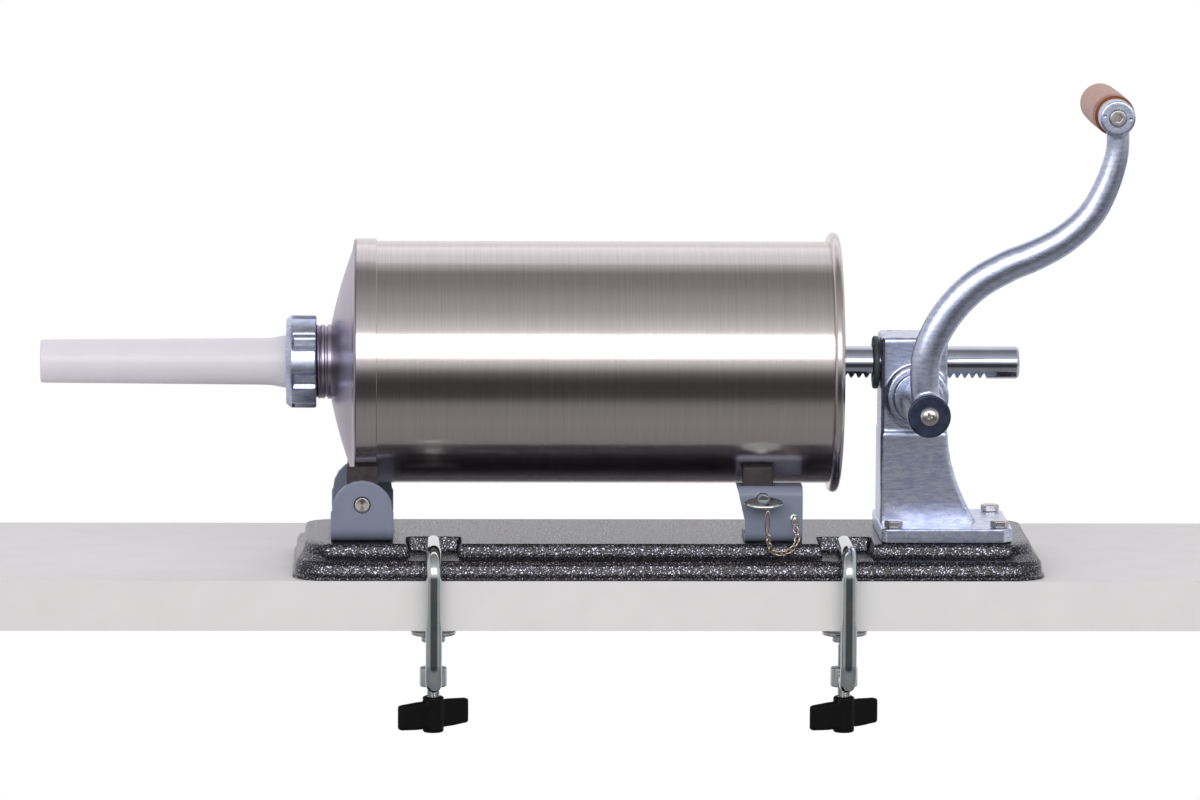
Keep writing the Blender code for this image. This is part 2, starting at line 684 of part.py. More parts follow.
def ring_loop(radius, scallop, x):
    """One loop of the lobed ring; scallops dip between the lobes."""
    loop = []
    per_lobe = 6
    count = RING_LOBES * per_lobe
    for k in range(count):
        share = (k % per_lobe) / per_lobe
        dip = max(0.0, math.cos(2 * math.pi * (share - 0.5)) * 1.35 - 0.1)
        reach = radius - scallop * min(dip, 1.0)
        angle = 2 * math.pi * k / count
        loop.append((reach * math.cos(angle), reach * math.sin(angle), x))
    return loop


def build_ring(ring_front):
    """The cast screw ring with its seven lobes."""
    rear = ring_front + RING_LENGTH
    bore = NECK_RADIUS + CLEAR
    hole = HORN_FLARE_RADIUS + CLEAR
    lip = ring_front + RING_LIP
    loops = [ring_loop(hole, 0, ring_front), ring_loop(RING_RADIUS - 2.6 * MM, 0, ring_front),
             ring_loop(RING_RADIUS, 0, ring_front + 3 * MM),
             ring_loop(RING_RADIUS, RING_SCALLOP, ring_front + 4.4 * MM),
             ring_loop(RING_RADIUS, RING_SCALLOP, rear),
             ring_loop(bore, 0, rear), ring_loop(bore, 0, lip), ring_loop(hole, 0, lip)]
    carrier = pivot("ring axis", AXIS)
    add_object("nozzle_ring", skin(loops, True), ALUMINIUM, AXIS, ALONG_X, carrier)


def build_lock():
    """The rear bracket, the lug that drops through it and the pull-out pin."""
    foot = BASE_HEIGHT + CLEAR
    t = LOCK_SHEET
    top = foot + LOCK_HEIGHT
    front = LOCK_FRONT_Y + t / 2
    path = [(LOCK_FRONT_Y + LOCK_TOP, top - t / 2), (front, top - t / 2),
            (front, foot + t / 2), (LOCK_FRONT_Y + LOCK_FOOT, foot + t / 2)]
    strip = bent_strip(path, t, LOCK_BEND)
    bracket = add_object("rear_bracket", prism(strip, LOCK_WIDTH, -LOCK_WIDTH / 2), POWDER,
                         (LOCK_BRACKET_X, 0, 0), (math.radians(90), 0, math.radians(90)))
    w = LOCK_WIDTH / 2
    wedge = [(-w - 5 * MM, foot - 5 * MM), (-w + LOCK_SLANT, foot - 5 * MM),
             (-w + LOCK_SLANT, foot + LOCK_HEIGHT * 0.36), (-w, top + 0.01 * MM),
             (-w, top + 5 * MM), (-w - 5 * MM, top + 5 * MM)]
    combine(bracket, tool("bracket slant", prism(wedge, 0.3, -0.15), (LOCK_BRACKET_X, 0, 0),
                          (math.radians(90), 0, 0)))
    lug_y = LOCK_FRONT_Y + t + LUG_BEHIND + LUG_SHEET / 2
    slot = rounded_loop(LUG_WIDTH + 2.4 * MM, LUG_SHEET + 2.4 * MM, 1.5 * MM, -4 * MM, 3)
    high = [(x, y, 4 * MM) for x, y, z in slot]
    combine(bracket, tool("lug slot", skin([slot, high]), (LOCK_X - 2.8 * MM, lug_y, top - t / 2)))
    pin_z = top - PIN_BELOW_TOP
    bore = rod(PIN_RADIUS + CLEAR, -20 * MM, 20 * MM, 16)
    combine(bracket, tool("pin hole", bore, (LOCK_X, LOCK_FRONT_Y, pin_z), ALONG_Y))
    hook = rod(2.1 * MM, -5 * MM, 5 * MM, 8)
    combine(bracket, tool("chain hole", hook, chain_hole(), ALONG_Y))
    for k, (x, y) in enumerate(lock_screw_places()):
        hole = rod(BOLT_RADIUS + CLEAR, -3 * MM, t + 3 * MM, 8)
        combine(bracket, tool("foot hole " + str(k), hole, (x, y, foot)))
        fastener("bracket_screw_" + str(k + 1), x, y, foot + t, False)
    build_lug(lug_y, pin_z)
    build_pin(lug_y, pin_z)
    build_chain(pin_z)


def chain_hole():
    """Centre of the chain's hole in the bracket's front."""
    return (LOCK_BRACKET_X + LOCK_WIDTH / 2 - 5.5 * MM, LOCK_FRONT_Y + LOCK_SHEET / 2,
            BASE_HEIGHT + LOCK_HEIGHT * 0.46)


def build_lug(lug_y, pin_z):
    """The lug under the cylinder, which the pin holds."""
    low = pin_z - PIN_RADIUS - 4.5 * MM
    high = AXIS_HEIGHT - TUBE_RADIUS * 0.7
    lug = add_object("locking_lug", skin([rounded_loop(LUG_WIDTH, LUG_SHEET, 1 * MM, low, 2),
                                          rounded_loop(LUG_WIDTH, LUG_SHEET, 1 * MM, high, 2)]),
                     STAINLESS, (LOCK_X - 2.8 * MM, lug_y, 0))
    bore = rod(PIN_RADIUS + CLEAR, -20 * MM, 20 * MM, 16)
    combine(lug, tool("lug bore", bore, (LOCK_X, lug_y, pin_z), ALONG_Y))
    hug = rod(TUBE_RADIUS + CLEAR, -LUG_WIDTH, LUG_WIDTH, DRUM_STEPS)
    combine(lug, tool("lug hug", hug, (LOCK_X, AXIS_Y, AXIS_HEIGHT), ALONG_X))


def build_pin(lug_y, pin_z):
    """The locking pin with its flat oval head, drawn out towards the viewer."""
    carrier = pivot("pin slide", (LOCK_X, LOCK_FRONT_Y, pin_z))
    tail = lug_y + LUG_SHEET / 2 + 3 * MM - LOCK_FRONT_Y
    head = -5 * MM
    shank = rod(PIN_RADIUS, head - 4 * MM, tail, 12, 0.6 * MM)
    pin = add_object("locking_pin", shank, ZINC, (LOCK_X, LOCK_FRONT_Y, pin_z), ALONG_Y, carrier)
    oval = []
    for k in range(16):
        angle = 2 * math.pi * k / 16
        oval.append((PADDLE_WIDTH / 2 * math.cos(angle), PADDLE_DEPTH / 2 * math.sin(angle)))
    paddle = tool("pin paddle", prism(oval, PADDLE_SHEET, -PADDLE_SHEET / 2),
                  (LOCK_X, LOCK_FRONT_Y + head - PADDLE_DEPTH / 2 + 1.5 * MM, pin_z - 1 * MM),
                  (math.radians(12), 0, 0))
    combine(pin, paddle, 'UNION')
    eye = rod(1.5 * MM, -6 * MM, 6 * MM, 8)
    combine(pin, tool("paddle eye", eye,
                      (LOCK_X + 2 * MM, LOCK_FRONT_Y + head - PADDLE_DEPTH + 4 * MM, pin_z - 1 * MM)))


def build_chain(pin_z):
    """The retaining chain, one supple run from the pin's eye to the bracket."""
    start = (LOCK_X + 2 * MM, LOCK_FRONT_Y - 16 * MM, pin_z - 5.6 * MM)
    hole = chain_hole()
    ledge = LEDGE_HEIGHT + LEDGE_RISE + 2.6 * MM
    edge = -BASE_WIDTH / 2 + LEDGE_INNER
    end = (hole[0], LOCK_FRONT_Y - 1.5 * MM, hole[2] - 0.6 * MM)
    route = [start, (start[0], start[1] - 1 * MM, BASE_HEIGHT + 9 * MM),
             (start[0] + 1.5 * MM, edge - 1.4 * MM, BASE_HEIGHT + 0.6 * MM),
             (start[0] + 5 * MM, edge - 3 * MM, ledge + 0.6 * MM),
             (start[0] + 11 * MM, edge - 3.2 * MM, ledge + 0.2 * MM),
             (end[0] + 0.5 * MM, edge - 2 * MM, ledge + 4 * MM),
             (end[0] + 3.2 * MM, end[1] - 8 * MM, BASE_HEIGHT + 7 * MM), end]
    curve = bpy.data.curves.new("pin_chain", 'CURVE')
    curve.dimensions = '3D'
    curve.bevel_depth = 1.5 * MM
    curve.bevel_resolution = 2
    curve.use_fill_caps = True
    line = curve.splines.new('POLY')
    path = smooth_path(route, 3)
    line.points.add(len(path) - 1)
    for point, place in zip(line.points, path):
        point.co = (*place, 1)
    curve.materials.append(BRASSY)
    made = bpy.data.objects.new("pin_chain", curve)
    bpy.context.scene.collection.objects.link(made)


def involute(base_radius, radius):
    """Angle of an involute's point from the place where it leaves its base circle."""
    ratio = radius / base_radius
    return math.sqrt(ratio * ratio - 1) - math.acos(1 / ratio)


def pinion_outline():
    """The pinion's teeth from its module, tooth count and pressure angle."""
    pitch_r = PINION_PITCH_RADIUS
    base_r = pitch_r * math.cos(PRESSURE_ANGLE)
    tip_r = pitch_r + MODULE
    root_r = pitch_r - 1.25 * MODULE
    half = (CIRCULAR_PITCH / 2 - BACKLASH / 2) / pitch_r / 2
    start = half + involute(base_r, pitch_r)
    flank = [(root_r, start + 0.02)]
    for k in range(3):
        radius = base_r + (tip_r - base_r) * k / 2
        flank.append((radius, start - involute(base_r, max(radius, base_r * 1.000001))))
    outline = []
    for tooth in range(PINION_TEETH):
        centre = 2 * math.pi * tooth / PINION_TEETH + math.pi / 2
        outline += [(r, centre - a) for r, a in flank]
        outline += [(r, centre + a) for r, a in reversed(flank)]
    return [(r * math.cos(a), r * math.sin(a)) for r, a in outline]


def rack_space(x):
    """One tooth space of the rack, as an outline in its side view."""
    deep = 2.25 * MODULE
    slope = math.tan(PRESSURE_ANGLE)
    mouth = CIRCULAR_PITCH / 4 + BACKLASH / 4 + (MODULE + 1.2 * MM) * slope
    floor = CIRCULAR_PITCH / 4 + BACKLASH / 4 - (deep - MODULE) * slope
    low = -RACK_FLAT - 1.2 * MM
    return [(x - mouth, low), (x + mouth, low), (x + floor, -RACK_FLAT + deep),
            (x - floor, -RACK_FLAT + deep)]


def rack_tool():
    """Every tooth space of the rack, in step with the pinion's upright tooth."""
    bm = bmesh.new()
    last = int((RACK_RIGHT_X - RACK_PLAIN - CRANK_X) / CIRCULAR_PITCH)
    for k in range(RACK_GAPS):
        outline = rack_space((last - k) * CIRCULAR_PITCH)
        verts = [bm.verts.new((x, -RACK_RADIUS * 1.2, z)) for x, z in outline]
        face = bm.faces.new(verts)
        grown = bmesh.ops.extrude_face_region(bm, geom=[face])
        moved = [item for item in grown["geom"] if isinstance(item, bmesh.types.BMVert)]
        bmesh.ops.translate(bm, verts=moved, vec=(0, RACK_RADIUS * 2.4, 0))
    return tool("rack spaces", bm, (CRANK_X, AXIS_Y, AXIS_HEIGHT))


def build_rack():
    """The round rack bar: toothed below, with a spigot for the piston at its left end."""
    carrier = pivot("rack slide", AXIS)
    shoulder = RACK_LEFT_X - PISTON_LENGTH - 2 * CLEAR
    end = shoulder - 8 * MM
    c = 1.6 * MM
    profile = [(0, end), (SPIGOT_RADIUS - 1 * MM, end), (SPIGOT_RADIUS, end + 1 * MM),
               (SPIGOT_RADIUS, RACK_LEFT_X), (RACK_RADIUS, RACK_LEFT_X),
               (RACK_RADIUS, RACK_RIGHT_X - c), (RACK_RADIUS - c, RACK_RIGHT_X), (0, RACK_RIGHT_X)]
    rack = add_object("rack_bar", turned(profile, 12), CHROME, AXIS, ALONG_X, carrier)
    combine(rack, rack_tool())
    length = RACK_RIGHT_X - RACK_PLAIN - RACK_LEFT_X
    flat = rounded_loop(length, 3 * RACK_RADIUS, 1 * MM, -RACK_RADIUS * 2, 1)
    top = [(x, y, -RACK_FLAT) for x, y, z in flat]
    centre = (RACK_RIGHT_X - RACK_PLAIN + RACK_LEFT_X) / 2
    combine(rack, tool("rack flat", skin([flat, top]), (centre, AXIS_Y, AXIS_HEIGHT)))
    build_piston(carrier, shoulder)


def build_piston(carrier, shoulder):
    """The piston, its seal ring and the nut that holds it on the rack's spigot."""
    rear = RACK_LEFT_X - CLEAR
    front = rear - PISTON_LENGTH
    radius = TUBE_RADIUS - TUBE_WALL - PISTON_GAP
    middle = (front + rear) / 2
    groove = radius - SEAL_DEPTH + 0.4 * MM
    half = SEAL_WIDTH / 2 + CLEAR
    bore = SPIGOT_RADIUS + CLEAR
    profile = [(bore, front), (radius - 3 * MM, front), (radius, front + 2.4 * MM),
               (radius, middle - half), (groove, middle - half), (groove, middle + half),
               (radius, middle + half), (radius, rear - 0.8 * MM), (radius - 0.8 * MM, rear),
               (radius - 14 * MM, rear), (radius - 17 * MM, rear - 8 * MM),
               (22 * MM, rear - 8 * MM), (19 * MM, rear), (bore, rear)]
    add_object("piston_disc", turned(profile, DRUM_STEPS), ALUMINIUM, AXIS, ALONG_X, carrier)
    outer = TUBE_RADIUS - TUBE_WALL - CLEAR
    ring = sleeve(outer, groove + CLEAR, middle - SEAL_WIDTH / 2, middle + SEAL_WIDTH / 2, DRUM_STEPS)
    add_object("piston_seal", ring, RUBBER, AXIS, ALONG_X, carrier)
    loops = [circle(bore, shoulder - 7 * MM, 12), hexagon(19 * MM, shoulder - 7 * MM),
             hexagon(19 * MM, shoulder + CLEAR), circle(bore, shoulder + CLEAR, 12)]
    add_object("piston_nut", skin(loops, True), STAINLESS, AXIS, ALONG_X, carrier)


def column_side():
    """Side outline of the casting: straight on the left, spreading to the foot on the right."""
    foot = BASE_HEIGHT + CLEAR + FLANGE_THICK * 0.5
    step = HOUSING_STEP_HEIGHT
    rows = [(HOUSING_LEFT, foot)]
    rise = FLANGE_THICK + BASE_HEIGHT + CLEAR
    for k in range(8):
        share = 1 - k / 7
        z = rise + (step - rise) * (1 - share)
        rows.append((HOUSING_RIGHT + HOUSING_SPREAD * share ** 1.9, z))
    rows.insert(1, (rows[1][0] + 3 * MM, foot))
    rows.insert(2, (rows[1][0], rise + 0.01 * MM))
    rows.append((HOUSING_LEFT, step))
    return rows


def build_housing():
    """The cast column: foot flange, spreading column, head block and crank boss."""
    foot = BASE_HEIGHT + CLEAR
    c = FLANGE_CHAMFER
    left, right = FLANGE_LEFT, FLANGE_RIGHT
    near, far = FLANGE_NEAR_Y, FLANGE_FAR_Y
    flange = [(left + c / 2, near), (right - c, near), (right, near + c), (right, far - c),
              (right - c, far), (left + c / 2, far), (left, far - c / 2), (left, near + c / 2)]
    housing = add_object("gear_housing", prism(flange, FLANGE_THICK, foot), ALUMINIUM)
    soften(housing, 1 * MM)
    deep = HOUSING_DEPTH / 2 + HOUSING_STEP
    side = tool("column", prism(column_side(), 2 * deep, -deep), (0, AXIS_Y, 0),
                (math.radians(90), 0, 0))
    soften(side, 2 * MM)
    combine(housing, side, 'UNION')
    top = AXIS_HEIGHT + HOUSING_ABOVE_AXIS
    low = HOUSING_STEP_HEIGHT - 4 * MM
    block = [(HOUSING_LEFT + 0.4 * MM, low), (HOUSING_RIGHT - 0.3 * MM, low),
             (HOUSING_RIGHT - 0.3 * MM, top), (HOUSING_LEFT + 0.4 * MM, top)]
    head = tool("head block", prism(block, HOUSING_DEPTH, -HOUSING_DEPTH / 2), (0, AXIS_Y, 0),
                (math.radians(90), 0, 0))
    soften(head, 2.4 * MM)
    combine(housing, head, 'UNION')
    reach = HOUSING_DEPTH / 2 + BOSS_LENGTH
    boss = rod(BOSS_RADIUS, -reach, 0, 20, 0.8 * MM)
    combine(housing, tool("crank boss", boss, (CRANK_X, AXIS_Y, CRANK_HEIGHT), ALONG_Y), 'UNION')
    bore_housing(housing, reach)
    for k, (x, y) in enumerate(bolt_places()):
        hole = rod(BOLT_RADIUS + CLEAR, -3 * MM, FLANGE_THICK + 3 * MM, 8)
        combine(housing, tool("flange hole " + str(k), hole, (x, y, foot)))
        if k == 3:
            bolt_from_below("housing_bolt_4", x, y)
            continue
        fastener("housing_bolt_" + str(k + 1), x, y, foot + FLANGE_THICK, True)
        nut_under_base("housing_nut_" + str(k + 1), x, y)
    for k, (x, y) in enumerate(yoke_screw_places()):
        nut_under_base("yoke_nut_" + str(k + 1), x, y)
    for k, (x, y) in enumerate(lock_screw_places()):
        nut_under_base("bracket_nut_" + str(k + 1), x, y)


def bore_housing(housing, reach):
    """Bores for the rack and the crank shaft, the pinion's chamber and the oil hole."""
    rack_r = RACK_RADIUS + CLEAR + RACK_BUSH_WALL + CLEAR
    span = HOUSING_RIGHT - HOUSING_LEFT
    rack = rod(rack_r, -span, span, 16)
    combine(housing, tool("rack bore", rack, (CRANK_X, AXIS_Y, AXIS_HEIGHT), ALONG_X))
    chamber = rod(PINION_PITCH_RADIUS + MODULE + 1.2 * MM, -PINION_WIDTH / 2 - 1 * MM,
                  PINION_WIDTH / 2 + 1 * MM, 16)
    combine(housing, tool("pinion chamber", chamber, (CRANK_X, AXIS_Y, CRANK_HEIGHT), ALONG_Y))
    shaft = rod(bush_outer() + CLEAR, -reach - 5 * MM, reach + 5 * MM, 20)
    combine(housing, tool("shaft bore", shaft, (CRANK_X, AXIS_Y, CRANK_HEIGHT), ALONG_Y))
    oil = rod(1.6 * MM, -12 * MM, 4 * MM, 8)
    place = (HOUSING_LEFT + 7.5 * MM, AXIS_Y + HOUSING_DEPTH / 2 - 7 * MM,
             AXIS_HEIGHT + HOUSING_ABOVE_AXIS)
    combine(housing, tool("oil hole", oil, place))


def bush_outer():
    """Outer radius of the crank shaft's bushes."""
    return SHAFT_RADIUS + CLEAR + 2.4 * MM


def build_bushes():
    """Bronze bushes for the rack and the crank shaft, and the wiper disc."""
    inner = RACK_RADIUS + CLEAR
    gap = PINION_PITCH_RADIUS + MODULE + 1.6 * MM
    spans = ((HOUSING_LEFT + 0.6 * MM, CRANK_X - gap), (CRANK_X + gap, HOUSING_RIGHT - 0.6 * MM))
    for name, (start, end) in zip(("rack_bush_left", "rack_bush_right"), spans):
        ring = sleeve(inner + RACK_BUSH_WALL, inner, start, end, 16)
        add_object(name, ring, BRONZE, (0, AXIS_Y, AXIS_HEIGHT), ALONG_X)
    face = HOUSING_LEFT - CLEAR
    disc = sleeve(WIPER_RADIUS, inner, face - WIPER_THICK, face, 20)
    add_object("rack_wiper", disc, RUBBER, (0, AXIS_Y, AXIS_HEIGHT), ALONG_X)
    place = (CRANK_X, AXIS_Y, CRANK_HEIGHT)
    bore = SHAFT_RADIUS + CLEAR
    depth = HOUSING_DEPTH / 2
    near = -depth - BOSS_LENGTH - CLEAR
    inside = PINION_WIDTH / 2 + CLEAR
    profile = [(bore, near - BUSH_FLANGE), (BUSH_FLANGE_RADIUS - 0.6 * MM, near - BUSH_FLANGE),
               (BUSH_FLANGE_RADIUS, near - BUSH_FLANGE + 0.6 * MM), (BUSH_FLANGE_RADIUS, near),
               (bush_outer(), near), (bush_outer(), -inside - 1 * MM), (bore, -inside - 1 * MM)]
    add_object("crank_bush_front", turned(profile, 20), ALUMINIUM, place, ALONG_Y)
    rear = sleeve(bush_outer(), bore, inside + 1 * MM, depth - CLEAR, 20)
    add_object("crank_bush_rear", rear, BRONZE, place, ALONG_Y)


def crank_path():
    """Centreline of the cast arm, an S that leaves the hub upwards and ends at the eye."""
    shape = ((-0.01, 0.03), (-0.022, 0.10), (-0.01, 0.20), (0.054, 0.295), (0.152, 0.38),
             (0.276, 0.449), (0.436, 0.504), (0.56, 0.535), (0.72, 0.589), (0.857, 0.666),
             (0.943, 0.758), (1.0, 0.866), (1.008, 0.943), (1.0, 0.995))
    depth = CRANK_FRONT_Y + 3 * MM + HUB_LENGTH / 2 + 0.8 * MM - AXIS_Y
    points = [(GRIP_ARM_X * a, depth, GRIP_ARM_Z * b) for a, b in shape]
    return smooth_path(points, 2)


def build_crank():
    """The shaft, pinion, cast arm and the parts that hold them together."""
    axis = Vector((CRANK_X, AXIS_Y, CRANK_HEIGHT))
    carrier = pivot("crank axis", axis)
    outline = pinion_outline()
    low = [(x, y, -PINION_WIDTH / 2) for x, y in outline]
    pinion = add_object("pinion", prism(outline, PINION_WIDTH, -PINION_WIDTH / 2), ZINC, axis,
                        (math.radians(90), 0, 0), carrier)
    bore = rod(SHAFT_RADIUS + CLEAR, -PINION_WIDTH, PINION_WIDTH, 16)
    combine(pinion, tool("pinion bore", bore, axis, ALONG_Y))
    tail = HOUSING_DEPTH / 2 + HOUSING_STEP + 9 * MM
    hub_back = CRANK_FRONT_Y + 3 * MM + HUB_LENGTH - AXIS_Y
    head = CRANK_FRONT_Y + 3 * MM + 4 * MM - AXIS_Y
    add_object("crank_shaft", rod(SHAFT_RADIUS, head, tail, 16, 0.6 * MM), ZINC, axis, ALONG_Y, carrier)
    ring = sleeve(9 * MM, SHAFT_RADIUS + CLEAR, tail - 7 * MM, tail - 1 * MM)
    add_object("shaft_collar", ring, ZINC, axis, ALONG_Y, carrier)
    build_arm(axis, carrier, hub_back)
    build_hub_screw(axis, carrier)
    return axis, carrier


def build_arm(axis, carrier, hub_back):
    """The cast arm: long hub, S-shaped oval bar and the eye for the grip's bolt."""
    front = CRANK_FRONT_Y + 3 * MM - AXIS_Y
    boss_face = -HOUSING_DEPTH / 2 - BOSS_LENGTH - BUSH_FLANGE - 2 * CLEAR
    profile = [(0, front), (HUB_RADIUS - 0.8 * MM, front), (HUB_RADIUS, front + 0.8 * MM),
               (HUB_RADIUS, hub_back - 1 * MM), (SLEEVE_RADIUS, hub_back),
               (SLEEVE_RADIUS, boss_face - 0.6 * MM), (SLEEVE_RADIUS - 0.6 * MM, boss_face),
               (0, boss_face)]
    arm = add_object("crank_arm", turned(profile, 16), ALUMINIUM, axis, ALONG_Y, carrier)
    path = crank_path()
    sections = []
    for k in range(len(path)):
        share = k / (len(path) - 1)
        swell = math.sin(math.pi * min(share * 1.15, 1.0))
        taper = 8.2 - 1.4 * share
        sections.append(((taper + 2.2 * swell) * MM, (6.0 + 0.5 * swell - 0.4 * share) * MM))
    bar = swept(path, sections, (0, 1, 0), 8)
    combine(arm, tool("arm bar", bar, axis), 'UNION')
    eye_place = (axis.x + GRIP_ARM_X, axis.y, axis.z + GRIP_ARM_Z)
    eye = rod(EYE_RADIUS, front, front + EYE_LENGTH, 16, 0.8 * MM)
    combine(arm, tool("arm eye", eye, eye_place, ALONG_Y), 'UNION')
    bore = rod(GRIP_BOLT_RADIUS + CLEAR, front - 5 * MM, front + EYE_LENGTH + 5 * MM, 12)
    combine(arm, tool("eye bore", bore, eye_place, ALONG_Y))
    sink = rod(GRIP_HEAD_RADIUS + CLEAR, front - 5 * MM, front + GRIP_HEAD_SINK, 16)
    combine(arm, tool("eye counterbore", sink, eye_place, ALONG_Y))
    shaft = rod(SHAFT_RADIUS + CLEAR, front + 4 * MM - CLEAR, 5 * MM, 16)
    combine(arm, tool("hub bore", shaft, axis, ALONG_Y))
    screw = rod(2.6 * MM + CLEAR, front - 5 * MM, front + 5 * MM, 10)
    combine(arm, tool("hub screw bore", screw, axis, ALONG_Y))


def build_hub_screw(axis, carrier):
    """The washer and the cross-slotted screw on the hub's front."""
    front = CRANK_FRONT_Y + 3 * MM - AXIS_Y
    disc = sleeve(HUB_RADIUS, 2.6 * MM + CLEAR, front - CLEAR - 2.7 * MM, front - CLEAR, 16)
    add_object("hub_washer", disc, ZINC, axis, ALONG_Y, carrier)
    seat = front - 2 * CLEAR - 2.7 * MM
    profile = [(0, seat - 3.2 * MM), (2.5 * MM, seat - 3 * MM), (4.8 * MM, seat - 2 * MM),
               (6.1 * MM, seat - 0.4 * MM), (6.1 * MM, seat), (2.6 * MM, seat),
               (2.6 * MM, front + 3.4 * MM), (0, front + 3.4 * MM)]
    screw = add_object("hub_screw", turned(profile, 12), STAINLESS, axis, ALONG_Y, carrier)
    for k, angle in enumerate((20, 110)):
        slot = prism([(-3 * MM, -0.7 * MM), (3 * MM, -0.7 * MM), (3 * MM, 0.7 * MM),
                      (-3 * MM, 0.7 * MM)], 3 * MM, seat - 4.6 * MM)
        bmesh.ops.rotate(slot, verts=slot.verts, cent=(0, 0, 0),
                         matrix=Matrix.Rotation(math.radians(angle), 3, 'Z'))
        combine(screw, tool("cross slot " + str(k), slot, axis, ALONG_Y))


def build_grip(axis, crank):
    """The turned grip on its long bolt, which points in over the cylinder."""
    place = axis + Vector((GRIP_ARM_X, 0, GRIP_ARM_Z))
    eye_front = CRANK_FRONT_Y + 3 * MM - AXIS_Y
    start = eye_front + EYE_LENGTH + 0.5 * MM
    end = start + GRIP_LENGTH
    bore = GRIP_BOLT_RADIUS + CLEAR
    r = GRIP_RADIUS
    recess = 6.8 * MM
    profile = [(bore, start), (r - 2 * MM, start), (r - 0.4 * MM, start + 1.6 * MM)]
    for groove in (7 * MM, 12 * MM):
        profile += [(r - 0.2 * MM, start + groove - 1.2 * MM), (r - 1.2 * MM, start + groove),
                    (r - 0.2 * MM, start + groove + 1.2 * MM)]
    profile += [(r, start + GRIP_LENGTH * 0.5), (r - 0.4 * MM, end - 6 * MM),
                (r - 2.4 * MM, end - 1 * MM), (r - 4 * MM, end), (recess, end),
                (recess, end - 6 * MM), (bore, end - 6 * MM)]
    carrier = pivot("grip axis", place)
    add_object("crank_grip", turned(profile, 16), WOOD, place, ALONG_Y, carrier)
    head = eye_front + GRIP_HEAD_SINK - CLEAR
    tip = end - 1 * MM
    top = head - GRIP_HEAD_HEIGHT
    edge = 0.8 * MM
    rows = [(0, top), (GRIP_HEAD_RADIUS - edge, top), (GRIP_HEAD_RADIUS, top + edge),
            (GRIP_HEAD_RADIUS, head), (GRIP_BOLT_RADIUS, head), (GRIP_BOLT_RADIUS, tip), (0, tip)]
    bolt = add_object("grip_bolt", turned(rows, 16), STAINLESS, place, ALONG_Y, crank)
    r = GRIP_SOCKET_RADIUS
    hexed = [(r * math.cos(math.pi * k / 3), r * math.sin(math.pi * k / 3)) for k in range(6)]
    deep = GRIP_HEAD_HEIGHT * 0.5
    socket = prism(hexed, 2 * deep, top - deep)
    combine(bolt, tool("hex socket", socket, place, ALONG_Y))
    base = end - 6 * MM + CLEAR
    loops = [circle(bore, base, 12), hexagon(10 * MM, base), hexagon(10 * MM, base + 4.4 * MM),
             circle(bore, base + 4.4 * MM, 12)]
    add_object("grip_nut", skin(loops, True), STAINLESS, place, ALONG_Y, crank)


def clamp_rod(name, x):
    """The bent rod: pegged into the notch wall, over the bench edge and back below it."""
    wall_y = -BASE_WIDTH / 2 + NOTCH_BACK
    outside = -BASE_WIDTH / 2 - ROD_OUT
    spindle_y = outside + SPINDLE_REACH
    high = rod_height()
    low = -ROD_DROP
    b = ROD_BEND
    start = wall_y - 4 * MM
    path = [Vector((x, start, high)), Vector((x, start - 1 * MM, high))]
    path[0].y = start
    for k in range(5):
        angle = math.pi / 2 * k / 4
        path.append(Vector((x, outside + b - b * math.sin(angle), high - b + b * math.cos(angle))))
    for k in range(5):
        angle = math.pi / 2 * k / 4
        path.append(Vector((x, outside + b - b * math.cos(angle), low + b - b * math.sin(angle))))
    path.append(Vector((x, spindle_y - EYE_PLATE_RADIUS * 0.5, low)))
    r = ROD_RADIUS
    sections = [(r - 0.8 * MM, r - 0.8 * MM)] + [(r, r)] * (len(path) - 1)
    made = add_object(name, swept(path, sections, (1, 0, 0), 8), ZINC)
    peg = rod(ROD_TIP_RADIUS, -7 * MM, 8 * MM, 8)
    combine(made, tool(name + " peg", peg, (x, start, high), ALONG_Y), 'UNION')
    half = EYE_PLATE_HEIGHT / 2
    eye = rod(EYE_PLATE_RADIUS, low - half, low + half, 16, 1 * MM)
    combine(made, tool(name + " eye", eye, (x, spindle_y, 0)), 'UNION')
    bore = rod(SPINDLE_RADIUS + CLEAR, low - 3 * half, low + 3 * half, 12)
    combine(made, tool(name + " thread", bore, (x, spindle_y, 0)))
    return Vector((x, spindle_y, 0))


